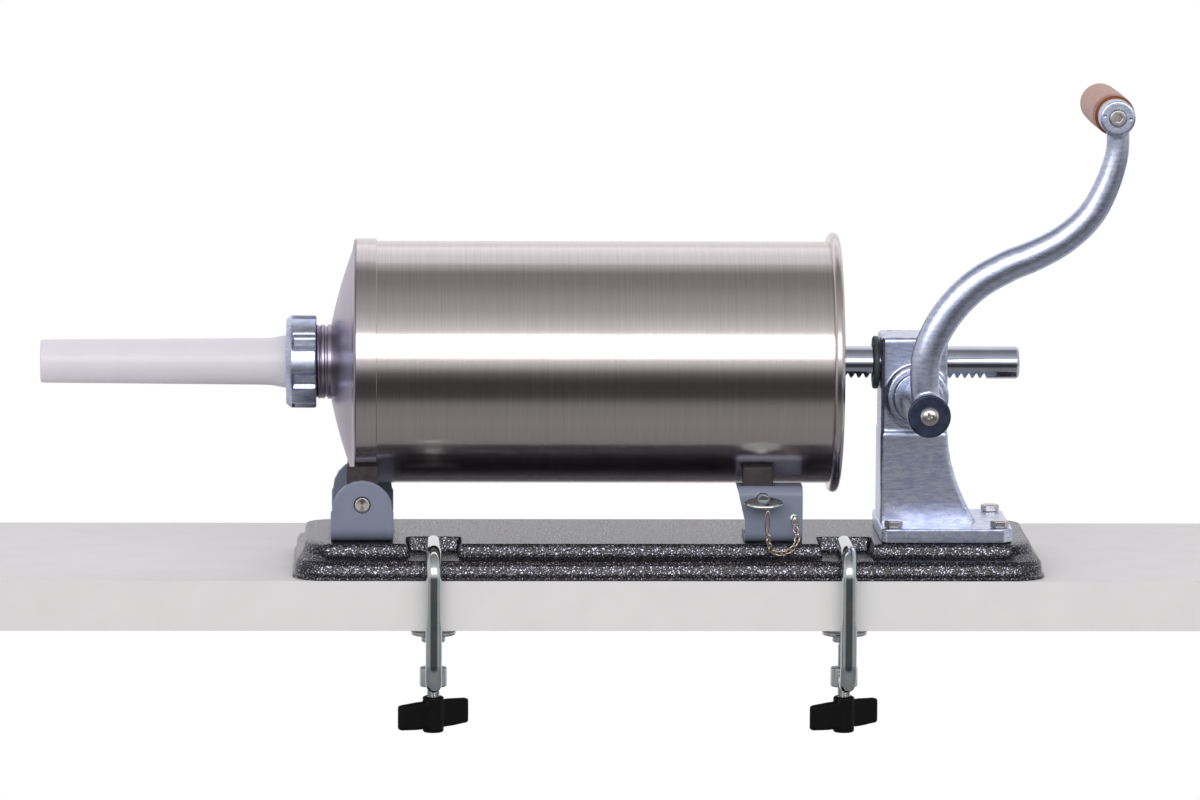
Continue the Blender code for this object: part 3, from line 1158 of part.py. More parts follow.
def build_clamp(side, x):
    """One bench clamp: rod, pad, spindle and wing handle."""
    foot = clamp_rod("clamp_rod_" + side, x)
    pad_slide = pivot("pad slide " + side, foot)
    screw_axis = pivot("screw axis " + side, foot)
    top = -BENCH_THICKNESS
    under = top - PAD_THICK - PAD_CUP
    socket = SPINDLE_RADIUS - 0.6 * MM
    deep = top - PAD_THICK
    profile = [(0, top), (PAD_RADIUS - 0.8 * MM, top), (PAD_RADIUS, top - 0.8 * MM),
               (PAD_RADIUS, deep + 0.6 * MM), (PAD_RADIUS - 1 * MM, deep),
               (PAD_CUP_RADIUS + 1 * MM, deep - 0.4 * MM), (PAD_CUP_RADIUS, under + 0.8 * MM),
               (PAD_CUP_RADIUS - 0.8 * MM, under), (socket + CLEAR, under),
               (socket + CLEAR, deep), (0, deep)]
    add_object("clamp_pad_" + side, turned(profile, 16), ZINC, foot, (0, 0, 0), pad_slide)
    hub_top = -WING_TOP_DROP
    hub_low = hub_top - WING_HUB_HEIGHT
    tip = deep - CLEAR
    rows = [(0, hub_low + 6 * MM), (SPINDLE_RADIUS, hub_low + 6 * MM), (SPINDLE_RADIUS, under - 1 * MM),
            (socket, under - 0.4 * MM), (socket, tip - 0.6 * MM), (socket - 0.8 * MM, tip), (0, tip)]
    add_object("clamp_spindle_" + side, turned(rows, 12), ZINC, foot, (0, 0, 0), screw_axis)
    hub = [(0, hub_low), (WING_HUB_RADIUS - 1 * MM, hub_low), (WING_HUB_RADIUS, hub_low + 1 * MM),
           (WING_HUB_RADIUS, hub_top - 1 * MM), (WING_HUB_RADIUS - 1 * MM, hub_top), (0, hub_top)]
    handle = add_object("wing_handle_" + side, turned(hub, 12), PLASTIC, foot, (0, 0, 0), screw_axis)
    middle = (hub_low + hub_top) / 2
    half = WING_SPAN / 2
    wing = [(-half, -WING_HEIGHT / 2 + 1 * MM), (-half * 0.5, -WING_HEIGHT / 2),
            (half * 0.5, -WING_HEIGHT / 2), (half, -WING_HEIGHT / 2 + 1 * MM),
            (half, WING_HEIGHT / 2 - 1 * MM), (half * 0.5, WING_HEIGHT / 2 - 0.4 * MM),
            (-half * 0.5, WING_HEIGHT / 2 - 0.4 * MM), (-half, WING_HEIGHT / 2 - 1 * MM)]
    blade = tool("wings " + side, prism(wing, WING_SHEET, -WING_SHEET / 2),
                 foot + Vector((0, 0, middle)), (math.radians(90), 0, WING_TURN))
    soften(blade, 0.9 * MM)
    combine(handle, blade, 'UNION')
    bore = rod(SPINDLE_RADIUS + CLEAR, hub_low + 6 * MM - CLEAR, hub_top + 5 * MM, 12)
    combine(handle, tool("handle bore " + side, bore, foot))


build_base()
build_yoke()
build_hinge()
build_cylinder()
build_cone()
build_neck()
build_ring(build_nozzle())
build_lock()
build_rack()
build_housing()
build_bushes()
build_grip(*build_crank())
for clamp_side, clamp_x in zip(("left", "right"), CLAMP_X):
    build_clamp(clamp_side, clamp_x)
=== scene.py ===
# %% [markdown]
# # A bench sausage stuffer with a rack and a crank
# The machine lies along the edge of a work bench. A crank turns a pinion, the pinion draws
# a toothed bar, and the bar pushes a piston through a steel cylinder towards a nozzle.
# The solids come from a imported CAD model. Everything below is built in that model's frame,
# in metres, so a piece goes where its solid is and nothing has to be fitted by eye.

# %% Load the solids
import json
import math

import bmesh
import bpy
from mathutils import Matrix, Vector

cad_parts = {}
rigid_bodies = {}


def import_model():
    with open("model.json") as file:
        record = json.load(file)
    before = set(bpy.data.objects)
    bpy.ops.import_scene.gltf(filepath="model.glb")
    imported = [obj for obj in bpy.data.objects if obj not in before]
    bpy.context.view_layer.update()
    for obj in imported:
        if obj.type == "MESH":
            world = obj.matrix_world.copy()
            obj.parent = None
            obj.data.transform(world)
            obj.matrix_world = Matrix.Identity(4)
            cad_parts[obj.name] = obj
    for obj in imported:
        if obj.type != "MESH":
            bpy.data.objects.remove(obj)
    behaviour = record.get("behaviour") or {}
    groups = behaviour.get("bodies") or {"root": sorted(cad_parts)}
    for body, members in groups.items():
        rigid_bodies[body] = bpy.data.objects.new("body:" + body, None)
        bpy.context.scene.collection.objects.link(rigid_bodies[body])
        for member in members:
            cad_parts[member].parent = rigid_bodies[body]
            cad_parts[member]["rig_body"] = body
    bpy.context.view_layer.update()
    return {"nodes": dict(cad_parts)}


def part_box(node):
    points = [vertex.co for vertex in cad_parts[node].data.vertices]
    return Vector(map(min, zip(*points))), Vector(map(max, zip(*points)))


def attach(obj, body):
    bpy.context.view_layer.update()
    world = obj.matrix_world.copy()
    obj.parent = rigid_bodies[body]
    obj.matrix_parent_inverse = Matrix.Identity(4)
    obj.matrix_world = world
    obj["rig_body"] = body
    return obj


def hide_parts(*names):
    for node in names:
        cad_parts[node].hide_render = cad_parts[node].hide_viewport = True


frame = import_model()
nodes = frame["nodes"]

# %% [markdown]
# ## Places that many pieces share
# Two lines carry the machine: the cylinder's axis along X and the crank's axis along Y.
# They could be typed as numbers, but the solids already hold them, so they are read from
# the boxes of the tube and of the washer on the hub.

# %% Axes read from the solids
MM = 0.001


def middle(node):
    """Centre of a solid's box."""
    low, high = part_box(node)
    return (low + high) / 2


tube = middle("cylinder_tube")
AXIS = Vector((0, tube.y, tube.z))
hub = middle("hub_washer")
CRANK = Vector((hub.x, 0, hub.z))
print("cylinder axis", tuple(round(v / MM, 1) for v in AXIS),
      "crank axis", tuple(round(v / MM, 1) for v in CRANK))

# %% [markdown]
# ## The camera
# The photograph was taken with a long lens from just above the machine, so its lines run
# nearly parallel. A camera can be placed by eye, but here its position, three angles and
# focal length were solved from 31 measured points on the object's edges.
# The three angles are yaw, pitch and roll, in a frame with Y forward and Z up.

# %% Camera from the solved view
yaw, pitch, roll = (math.radians(angle) for angle in (-1.724732, -7.059672, -0.286279))
view = Matrix.Rotation(yaw, 3, 'Z') @ Matrix.Rotation(pitch, 3, 'X') @ Matrix.Rotation(roll, 3, 'Y')
look = view @ Matrix(((1, 0, 0), (0, 0, -1), (0, 1, 0)))
SENSOR, PICTURE_WIDTH, FOCAL_PIXELS = 36, 1200, 7273.13
camera_data = bpy.data.cameras.new("camera")
camera_data.sensor_width = SENSOR
camera_data.lens = FOCAL_PIXELS / PICTURE_WIDTH * SENSOR
camera = bpy.data.objects.new("camera", camera_data)
camera.matrix_world = Matrix.Translation((-0.176273, -4.481896, 0.657675)) @ look.to_4x4()
bpy.context.scene.collection.objects.link(camera)
bpy.context.scene.camera = camera
print("lens", round(camera_data.lens, 1), "mm")

# %% [markdown]
# ## Small helpers for every material
# Screen colours are written as hex codes, but light adds up in linear values, so one
# function turns a code into linear red, green and blue. Another adds a shader node with
# its settings and its links. The rest are the steps that the finishes share: noise, a mix
# of two colours, a change of range, a sum, and the last step that feeds the shader.

# %% Colour and node helpers


def linear(code):
    """An sRGB hex code as linear red, green, blue and alpha."""
    parts = [int(code[k:k + 2], 16) / 255 for k in (1, 3, 5)]
    return [p / 12.92 if p <= 0.04045 else ((p + 0.055) / 1.055) ** 2.4 for p in parts] + [1]


def add(tree, kind, settings, links=None):
    """Add a node. Settings name a property or a socket, and links feed sockets."""
    made = tree.nodes.new(kind)
    for key, value in settings.items():
        if isinstance(key, str) and hasattr(made, key):
            setattr(made, key, value)
        else:
            made.inputs[key].default_value = value
    for key, source in (links or {}).items():
        tree.links.new(source, made.inputs[key])
    return made


def finish(name, settings):
    """A new material: its tree, its Principled shader and the object's own coordinates."""
    made = bpy.data.materials.new(name)
    made.use_nodes = True
    tree = made.node_tree
    shader = tree.nodes["Principled BSDF"]
    for key, value in settings.items():
        shader.inputs[key].default_value = value
    return made, tree, shader, add(tree, "ShaderNodeTexCoord", {}).outputs["Object"]


def noise(tree, place, grain, detail, roughness=0.5):
    """Noise with grains of one size in millimetres, or of three sizes along X, Y and Z."""
    if isinstance(grain, tuple):
        scale = [1 / (size * MM) for size in grain]
        place = add(tree, "ShaderNodeMapping", {"Scale": scale}, {"Vector": place}).outputs[0]
        scale = 1
    else:
        scale = 1 / (grain * MM)
    return add(tree, "ShaderNodeTexNoise", {
        "Scale": scale, "Detail": detail, "Roughness": roughness}, {"Vector": place}).outputs["Fac"]


def between(tree, share, *colours):
    """A mix of two colours; each is a hex code or another node's output."""
    made = add(tree, "ShaderNodeMix", {"data_type": 'RGBA'}, {0: share})
    for socket, colour in zip((6, 7), colours):
        if isinstance(colour, str):
            made.inputs[socket].default_value = linear(colour)
        else:
            tree.links.new(colour, made.inputs[socket])
    return made.outputs[2]


def ranged(tree, value, low, high, to_low=0, to_high=1):
    """A value carried from one range to another."""
    limits = {"From Min": low, "From Max": high, "To Min": to_low, "To Max": to_high}
    return add(tree, "ShaderNodeMapRange", limits, {"Value": value}).outputs[0]


def reckon(tree, operation, *terms):
    """A sum on numbers and on other nodes' outputs."""
    made = add(tree, "ShaderNodeMath", {"operation": operation})
    for socket, term in enumerate(terms):
        if isinstance(term, (int, float)):
            made.inputs[socket].default_value = term
        else:
            tree.links.new(term, made.inputs[socket])
    return made.outputs[0]


def feed(tree, shader, sockets, height, strength, distance):
    """Link the shader's sockets and lift its surface by a height; distance is in millimetres."""
    bump = add(tree, "ShaderNodeBump", {"Strength": strength, "Distance": distance * MM}, {"Height": height})
    for key, source in {**sockets, "Normal": bump.outputs[0]}.items():
        tree.links.new(source, shader.inputs[key])


print("white is", linear("#ffffff"), "mid grey is", round(linear("#808080")[0], 3))

# %% [markdown]
# ## The bench
# The real machine stands on a wooden bench with its clamps over the edge. A pale painted
# board, 31 mm thick like the bench's edge, takes the bench's place. It could be any floor,
# but the clamps only make sense on an edge that they can hold.

# %% Board
board_finish, tree, shader, place = finish("pale painted board", {"Roughness": 0.6})
tone = between(tree, noise(tree, place, 25, 4), "#ecebe9", "#f6f5f3")
tree.links.new(tone, shader.inputs["Base Color"])


def placed(name, bm):
    """A mesh as an object in the scene."""
    mesh = bpy.data.meshes.new(name)
    bm.to_mesh(mesh)
    bm.free()
    made = bpy.data.objects.new(name, mesh)
    bpy.context.scene.collection.objects.link(made)
    return made


low, high = Vector((-0.75, -0.0755, -0.031)), Vector((0.75, 0.18, -0.0002))
block = bmesh.new()
bmesh.ops.create_cube(block, size=1)
bmesh.ops.scale(block, verts=block.verts, vec=high - low)
bmesh.ops.translate(block, verts=block.verts, vec=low + (high - low) / 2)
made = placed("bench_board", block)
made.data.materials.append(board_finish)
print("board 31 mm thick, its front edge at Y", round(low.y / MM, 1))

# %% [markdown]
# ## Light
# Polished steel shows the room around it, so the light is planned by direction. A wide
# soft box stands in front and a little above, which draws the white band along the
# cylinder. From the front over the top to the back the room goes from pale through mid
# grey to pale, and below the front it is dark, which draws the dark band. The sides are
# pale. A set of many lamps could do this too; two boxes and a graded room are easier to
# read and to change. Straight from the camera the room shows as plain white paper, and
# that white sheds no light of its own.

# %% Soft boxes and a graded room


def soft_box(name, place, target, width, height, watts, tint):
    """A rectangular area lamp that faces a point."""
    lamp = bpy.data.lights.new(name, 'AREA')
    lamp.shape = 'RECTANGLE'
    lamp.size, lamp.size_y = width, height
    lamp.energy = watts
    lamp.color = linear(tint)[:3]
    made = bpy.data.objects.new(name, lamp)
    made.location = place
    made.rotation_euler = (Vector(target) - Vector(place)).to_track_quat('-Z', 'Y').to_euler()
    bpy.context.scene.collection.objects.link(made)


soft_box("front soft box", (0, -2.1, 0.93), (0, 0, 0.12), 3.4, 0.82, 24, "#ffffff")
soft_box("back soft box", (0, 1.35, 1.75), (0, 0, 0.1), 3.2, 1.3, 5, "#f3f0ff")
world = bpy.data.worlds.new("studio room")
bpy.context.scene.world = world
world.use_nodes = True
tree = world.node_tree
ways = add(tree, "ShaderNodeTexCoord", {})
parts = add(tree, "ShaderNodeSeparateXYZ", {}, {0: ways.outputs["Generated"]})
front = reckon(tree, 'MULTIPLY', parts.outputs["Y"], -1)
turn = reckon(tree, 'ARCTAN2', parts.outputs["Z"], front)
room = add(tree, "ShaderNodeValToRGB", {}, {"Fac": ranged(tree, turn, -math.pi, math.pi)})
# Degrees from the horizon in front, over the top, to the back, and how pale the room is there.
ROOM = (
    (-180, 0.95), (-168, 0.80), (-158, 0.22), (-95, 0.26), (-52, 0.30), (-36, 0.26), (-27, 0.07),
    (-13, 0.05), (-4, 0.14), (5, 0.72), (30, 0.95), (40, 0.80), (54, 0.52), (84, 0.30), (101, 0.26),
    (109, 0.52), (128, 0.62), (150, 0.95), (180, 0.95))
while len(room.color_ramp.elements) < len(ROOM):
    room.color_ramp.elements.new(0.5)
for element, (angle, light) in zip(room.color_ramp.elements, ROOM):
    element.position = (angle + 180) / 360
    element.color = (light * 0.985, light * 0.97, light, 1)
# Beyond 0.62 of the way to a side, the room fades into a wall that is pale above the horizon.
aside = ranged(tree, reckon(tree, 'ABSOLUTE', parts.outputs["X"]), 0.62, 0.86)
side_light = ranged(tree, parts.outputs["Z"], -0.25, 0.05, 0.25, 0.72)
shade = between(tree, aside, room.outputs["Color"], side_light)
path = add(tree, "ShaderNodeLightPath", {})
shade = between(tree, path.outputs["Is Camera Ray"], shade, "#ffffff")
tree.links.new(shade, tree.nodes["Background"].inputs["Color"])
bpy.context.scene.view_settings.view_transform = 'Standard'
print(len(ROOM), "directions in the room's shade")

# %% [markdown]
# ## Brushed stainless steel
# The cylinder is drawn from stainless sheet and brushed while it turns in a lathe, so fine
# lines run round it. Across the lines the steel scatters light, along them it stays sharp:
# reflections smear along the cylinder and keep crisp edges round it. The lines are about
# 0.1 mm apart, too fine for this picture, so they are drawn at about 0.7 mm. They come
# from noise that changes fast along X and slowly round the tube.

# %% Brushed stainless
stainless, tree, steel, place = finish("brushed stainless", {
    "Metallic": 1.0, "Anisotropic": 0.8, "Anisotropic Rotation": 0.25})
brush = noise(tree, place, (0.7, 1000 / 14, 1000 / 14), 3, 0.7)
stain = noise(tree, place, 45, 3)
rough = reckon(tree, 'MULTIPLY_ADD', brush, 0.12, 0.10)
rough = reckon(tree, 'MULTIPLY_ADD', stain, 0.08, rough)
across = add(tree, "ShaderNodeTangent", {"direction_type": 'RADIAL', "axis": 'X'})
tone = between(tree, brush, "#c3b9b5", "#dcd6d5")
feed(tree, steel, {"Base Color": tone, "Roughness": rough, "Tangent": across.outputs[0]},
     brush, 0.10, 0.05)
print("brush lines drawn 0.7 mm apart")

# %% [markdown]
# ## Spun steel for the front cap and the neck
# The cap is pressed and then polished while it spins, with finer lines than the tube and
# a softer sheen. It is the same steel, so only the scale and the strength change. Its
# band is brushed with the tube, so the cap is made in two pieces that meet at the fold.

# %% Spun stainless
spun, tree, steel, place = finish("spun stainless", {"Base Color": linear("#aaa2b1"), "Metallic": 1.0})
brush = noise(tree, place, (0.5, 1000 / 20, 1000 / 20), 3, 0.65)
rough = reckon(tree, 'MULTIPLY_ADD', brush, 0.14, 0.23)
feed(tree, steel, {"Roughness": rough}, brush, 0.12, 0.04)
print("spun lines drawn 0.5 mm apart")

# %% [markdown]
# ## Tumbled cast aluminium
# The gear housing, the crank arm and the nozzle's ring are cast and then tumbled in
# stones, which leaves a satin skin with tiny dents and rubs the edges bright. Small noise
# dents of about 0.6 mm break up the sheen, and a larger, faint mottling keeps a face from
# looking flat. The bright edges come from the real rounding of the mesh.

# %% Tumbled aluminium


def tumbled(name, dark, light, rough_low, dent):
    """Cast aluminium out of the tumbler: small dents, faint clouds, drifting gloss."""
    made, tree, metal, place = finish(name, {"Metallic": 1.0})
    dents = noise(tree, place, 0.6, 2)
    cloud = noise(tree, place, (6, 6, 1.6), 3)
    rubs = noise(tree, place, (2.4, 2.4, 0.7), 3, 0.6)
    tone = between(tree, ranged(tree, cloud, 0.3, 0.7), dark, light)
    rough = ranged(tree, rubs, 0.35, 0.65, rough_low, rough_low + 0.07)
    feed(tree, metal, {"Base Color": tone, "Roughness": rough}, dents, dent, 0.035)
    return made


aluminium = tumbled("tumbled cast aluminium", "#b4bddb", "#e0e5f5", 0.27, 0.2)
rubbed = tumbled("rubbed cast aluminium", "#b6bfdb", "#d6dcee", 0.27, 0.12)
print("tumbling dents 0.6 mm")

# %% [markdown]
# ## Hammertone paint
# The pressed base wears a two-tone hammertone enamel: black paint with aluminium flake
# that gathers in small islands as it dries. From the front it is black with bright specks.
# Seen along its surface, its gloss mirrors the pale room, which is why the flat top looks
# grey in the photograph. Flakes of 1 mm and islands of 1.5 mm mix the two colours and lift
# the gloss coat into small hills.

# %% Hammertone
hammertone, tree, paint, place = finish("hammertone enamel", {"Roughness": 0.24})
islands = add(tree, "ShaderNodeTexVoronoi", {
    "feature": 'SMOOTH_F1', "Scale": 1 / (1.5 * MM), "Smoothness": 0.5}, {"Vector": place})
flake = noise(tree, place, 1.0, 3, 0.6)
speck = ranged(tree, flake, 0.57, 0.625)
hills = reckon(tree, 'MULTIPLY_ADD', flake, 0.4, islands.outputs["Distance"])
feed(tree, paint, {"Base Color": between(tree, speck, "#050608", "#b9b6c9"), "Metallic": speck},
     hills, 0.7, 0.35)
print("flakes 1.0 mm, islands 1.5 mm")

# %% [markdown]
# ## Grey powder coat
# The yoke and the rear bracket are bent steel with baked powder paint, bluish grey and
# half gloss. Powder melts into a faint orange peel with hills about 1 mm apart.

# %% Powder coat
powder, tree, paint, place = finish("grey powder coat", {"Roughness": 0.36})
peel = noise(tree, place, 1.0, 1)
dust = noise(tree, place, 14, 4)
feed(tree, paint, {"Base Color": between(tree, dust, "#80869b", "#8d94a9")}, peel, 0.10, 0.06)
print("orange peel 1.0 mm")

# %% [markdown]
# ## Chrome, zinc and the small steel parts
# The rack is hard chromed and nearly a mirror. The clamps are zinc plated, bright with a
# faint blue and straw bloom. Screws and shaft ends are plain stainless with turning marks.
# The chain is nickelled and a little yellow. They all share one recipe: a metal colour
# that drifts a little, and a roughness that drifts with it.

# %% Plated and bare small metals


def plated(name, first, second, rough_low, rough_span, patch, scratch, depth):
    """A plated metal: colour and roughness drift over patches, scratches lift the surface."""
    made, tree, metal, place = finish(name, {"Metallic": 1.0})
    cloud = noise(tree, place, patch, 4)
    rough = reckon(tree, 'MULTIPLY_ADD', cloud, rough_span, rough_low)
    feed(tree, metal, {"Base Color": between(tree, cloud, first, second), "Roughness": rough},
         noise(tree, place, scratch, 2), depth, 0.05)
    return made


chrome = plated("hard chrome", "#b4b8c6", "#cdd0dc", 0.04, 0.10, 12, 0.8, 0.05)
zinc = plated("bright zinc plate", "#b2c8d4", "#ddd5ca", 0.05, 0.12, 7, 0.7, 0.12)
screw_steel = plated("turned stainless", "#b8b3b1", "#d9d6d4", 0.20, 0.16, 3, 0.4, 0.15)
nickel = plated("nickel plate", "#b7a893", "#dfd5c6", 0.16, 0.14, 2, 0.5, 0.1)
bronze = plated("bearing bronze", "#a9814f", "#c79b62", 0.3, 0.15, 4, 0.5, 0.15)
# Dark navy metal for the hub washer's face: a painted reflection of the dark room in front of it.
machined = plated("zinc face with painted navy reflection", "#3d4659", "#566079", 0.26, 0.14, 5, 0.4, 0.15)
# Dark brown grey steel for the saddle and the lug: painted shade for the shadow under the tube.
pickled = plated("steel darkened for painted shade", "#4b4748", "#625d5d", 0.34, 0.14, 5, 0.6, 0.15)
print("seven metals")

# %% [markdown]
# ## Plastics, rubber and beech
# The nozzle is milky polypropylene: light enters it and comes back softened, which
# subsurface scattering stands for. The wing nuts are black glass-filled nylon, the wiper
# and the seal are dark rubber. The grip is turned beech, with short brown pores that run
# along it. Its front end is stained orange brown up to the second of two fine grooves.

# %% Milky polypropylene, black nylon and rubber
milky, tree, plastic, place = finish("milky polypropylene", {
    "Roughness": 0.34, "IOR": 1.49,
    "Subsurface Weight": 0.3, "Subsurface Radius": (1, 1, 1), "Subsurface Scale": 3 * MM})
tone = between(tree, noise(tree, place, 22, 3), "#efe9f4", "#f8f4fb")
feed(tree, plastic, {"Base Color": tone}, noise(tree, place, 2.5, 2), 0.08, 0.1)


def moulded(name, dark, light, roughness, pore, depth, gloss=0.5):
    """A dark moulded polymer with a fine skin."""
    made, tree, plastic, place = finish(name, {"Roughness": roughness, "Specular IOR Level": gloss})
    skin_grain = noise(tree, place, pore, 3)
    feed(tree, plastic, {"Base Color": between(tree, skin_grain, dark, light)}, skin_grain, depth, 0.1)
    return made


nylon = moulded("black nylon", "#010103", "#040406", 0.5, 0.5, 0.12, gloss=0.2)
rubber = moulded("dark nitrile rubber", "#424a4b", "#586161", 0.5, 0.8, 0.2)
print("nozzle, handles and wiper have their finish")

# %% Turned beech with a stained end
beech, tree, wood, place = finish("turned beech", {
    "Roughness": 0.42, "Coat Weight": 0.15, "Coat Roughness": 0.25})
grip_low, grip_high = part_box("crank_grip")
grain = noise(tree, place, (1.6, 30, 1.6), 3, 0.6)
pore = ranged(tree, noise(tree, place, (0.5, 3, 0.5), 1), 0.60, 0.68)
tone = between(tree, pore, between(tree, grain, "#a66c56", "#d0937a"), "#7a4d31")
along = add(tree, "ShaderNodeSeparateXYZ", {}, {0: place}).outputs["Y"]
# The stain ends at the second groove. At the first, 7 mm from the front end, it thins to a pale line, a
# painted highlight on the groove.
stain = ranged(tree, along, grip_low.y + 12.6 * MM, grip_low.y + 11.8 * MM)
groove = reckon(tree, 'ABSOLUTE', reckon(tree, 'SUBTRACT', along, grip_low.y + 7 * MM))
# Near the first groove the stain drops to a quarter of its strength: the painted highlight.
stain = reckon(tree, 'MULTIPLY', stain, ranged(tree, groove, 0.2 * MM, 0.7 * MM, 0.25))
feed(tree, wood, {"Base Color": between(tree, stain, tone, "#8a4417")}, grain, 0.15, 0.1)
print("grip", round((grip_high.y - grip_low.y) / MM), "mm long")

# %% [markdown]
# ## Tools for shaping
# Most parts of this machine are turned, bent from rod or cast. Three small mesh tools
# cover them: a lathe that spins a profile, a sweep that carries a section along a path,
# and a bench that runs modifiers and hands back the finished mesh. Profiles are softened
# first, because a real edge is never perfectly sharp and its rounding catches the light.

# %% Lathe


def eased(profile, radius, closed=False, steps=3):
    """Round the corners of a profile of (radius, along) points."""
    soft = []
    count = len(profile)
    for k in range(count):
        here = Vector(profile[k])
        before, after = Vector(profile[k - 1]), Vector(profile[(k + 1) % count])
        into, out = before - here, after - here
        short = min(into.length, out.length) < 1e-7
        if (not closed and k in (0, count - 1)) or short or into.angle(out) > 3.0:
            soft.append(tuple(here))
            continue
        first = here + into.normalized() * min(radius, into.length * 0.45)
        last = here + out.normalized() * min(radius, out.length * 0.45)
        for step in range(steps + 1):
            t = step / steps
            soft.append(tuple(first * (1 - t) ** 2 + here * 2 * t * (1 - t) + last * t * t))
    return soft


def mm(rows):
    """Millimetres of a drawing as metres."""
    return [tuple(value * MM for value in row) for row in rows]


def around(axis, along, radius, turn):
    """A point at a distance and an angle from an axis."""
    u, v = radius * math.cos(turn), radius * math.sin(turn)
    return Vector({'X': (along, u, v), 'Y': (u, along, v), 'Z': (u, v, along)}[axis])


def full_turn(steps):
    """The angles of a full turn in equal steps."""
    return [2 * math.pi * k / steps for k in range(steps)]


def neighbours(rows, closed):
    """Each row with the next one, and the last with the first when the rows close."""
    return zip(rows, rows[1:] + (rows[:1] if closed else []))


def turned(profile, centre, axis='X', steps=96, soft=0, closed=False):
    """Spin a (radius, along) profile in millimetres about an axis, its corners softened."""
    points = eased(mm(profile), soft * MM, closed) if soft else mm(profile)
    bm = bmesh.new()
    rows = []
    for radius, along in points:
        turns = full_turn(steps) if radius > 1e-7 else [0]
        rows.append([bm.verts.new(around(axis, along, radius, turn) + centre) for turn in turns])
    for low, high in neighbours(rows, closed):
        if len(low) == 1 and len(high) == 1:
            continue
        for k in range(steps):
            after = k + 1
            corners = (low[k % len(low)], low[after % len(low)], high[after % len(high)], high[k % len(high)])
            bm.faces.new(list(dict.fromkeys(corners)))
    return bm


def rod(radius, start, end, centre, axis, steps, soft=0):
    """A plain cylinder between two places on its axis, in millimetres."""
    return turned([(0, start), (radius, start), (radius, end), (0, end)], centre, axis, steps, soft)


print("an eased square corner has", len(eased([(0, 0), (1, 0), (1, 1)], 0.2)), "points")

# %% Skin, sweep and prism


def skin(loops, capped=True, ring=False):
    """Join loops of equal length into one surface."""
    bm = bmesh.new()
    rows = [[bm.verts.new(point) for point in loop] for loop in loops]
    for low, high in neighbours(rows, ring):
        for k in range(len(low)):
            after = (k + 1) % len(low)
            bm.faces.new((low[k], low[after], high[after], high[k]))
    if capped and not ring:
        bm.faces.new(rows[0])
        bm.faces.new(rows[-1])
    return bm


def smooth_path(points, per_span):
    """Catmull-Rom points through a few route points."""
    knots = [Vector(point) for point in points]
    knots = [2 * knots[0] - knots[1]] + knots + [2 * knots[-1] - knots[-2]]
    path = []
    for a, b, c, d in zip(knots, knots[1:], knots[2:], knots[3:]):
        for step in range(per_span):
            t = step / per_span
            path.append(0.5 * (2 * b + (c - a) * t + (2 * a - 5 * b + 4 * c - d) * t * t
                               + (3 * b - a - 3 * c + d) * t ** 3))
    return path + [knots[-2]]


def swept(path, sections, side, count, ring=False):
    """Carry an oval section along a path; side is the direction of its second axis."""
    across = Vector(side).normalized()
    loops = []
    for k, point in enumerate(path):
        if ring:
            ahead = path[(k + 1) % len(path)] - path[k - 1]
        else:
            ahead = path[min(k + 1, len(path) - 1)] - path[max(k - 1, 0)]
        first = ahead.normalized().cross(across).normalized()
        wide, thick = sections[k]
        loops.append([point + first * (wide * math.cos(turn)) + across * (thick * math.sin(turn))
                      for turn in full_turn(count)])
    return skin(loops, ring=ring)


def prism(outline, start, end, axis='Y'):
    """Extrude a flat outline; its two numbers are X and Z for axis Y, X and Y for axis Z."""
    if axis == 'Y':
        return skin([[(x, depth, z) for x, z in outline] for depth in (start, end)])
    return skin([[(x, y, depth) for x, y in outline] for depth in (start, end)])


print("a path through three points has", len(smooth_path([(0, 0, 0), (1, 0, 0), (1, 1, 0)], 5)), "points")

# %% Modifier bench


def loose(bm):
    """A scratch object that holds a mesh while modifiers run."""
    bmesh.ops.recalc_face_normals(bm, faces=bm.faces)
    return placed("scratch", bm)


def worked(bm, *steps):
    """Run modifiers on a mesh and hand back the result; a step is (kind, settings)."""
    part = loose(bm)
    used = [part]
    for kind, settings in steps:
        step = part.modifiers.new(kind, kind)
        for key, value in settings.items():
            if isinstance(value, bmesh.types.BMesh):
                value = loose(value)
                used.append(value)
            setattr(step, key, value)
    shown = part.evaluated_get(bpy.context.evaluated_depsgraph_get())
    result = bmesh.new()
    result.from_mesh(shown.data)
    for made in used:
        bpy.data.objects.remove(made, do_unlink=True)
    return result


def cut(bm, other, operation='DIFFERENCE'):
    """Cut, unite or intersect with another mesh."""
    return worked(bm, ('BOOLEAN', {"operation": operation, "solver": 'EXACT', "object": other}))


def softened(bm, width, segments=3, angle=30):
    """Round the edges that are sharper than an angle."""
    return worked(bm, ('BEVEL', {"width": width * MM, "segments": segments, "limit_method": 'ANGLE',
                                 "angle_limit": math.radians(angle)}))


def cast(bm, voxel, rounds):
    """Remesh united blocks and smooth them, so that they flow into each other."""
    return worked(bm, ('REMESH', {"mode": 'VOXEL', "voxel_size": voxel * MM}),
                  ('SMOOTH', {"factor": 0.5, "iterations": rounds}))


def together(*parts):
    """Several meshes as one."""
    whole = bmesh.new()
    for bm in parts:
        mesh = bpy.data.meshes.new("scratch")
        bmesh.ops.recalc_face_normals(bm, faces=bm.faces)
        bm.to_mesh(mesh)
        bm.free()
        whole.from_mesh(mesh)
        bpy.data.meshes.remove(mesh)
    return whole


print("the bench cuts, unites, softens and casts")

# %% Finished pieces


def held(value):
    """A value kept between 0 and 1."""
    return min(1.0, max(0.0, value))


def gently(value):
    """The same, with a soft start and a soft end."""
    value = held(value)
    return value * value * (3 - 2 * value)


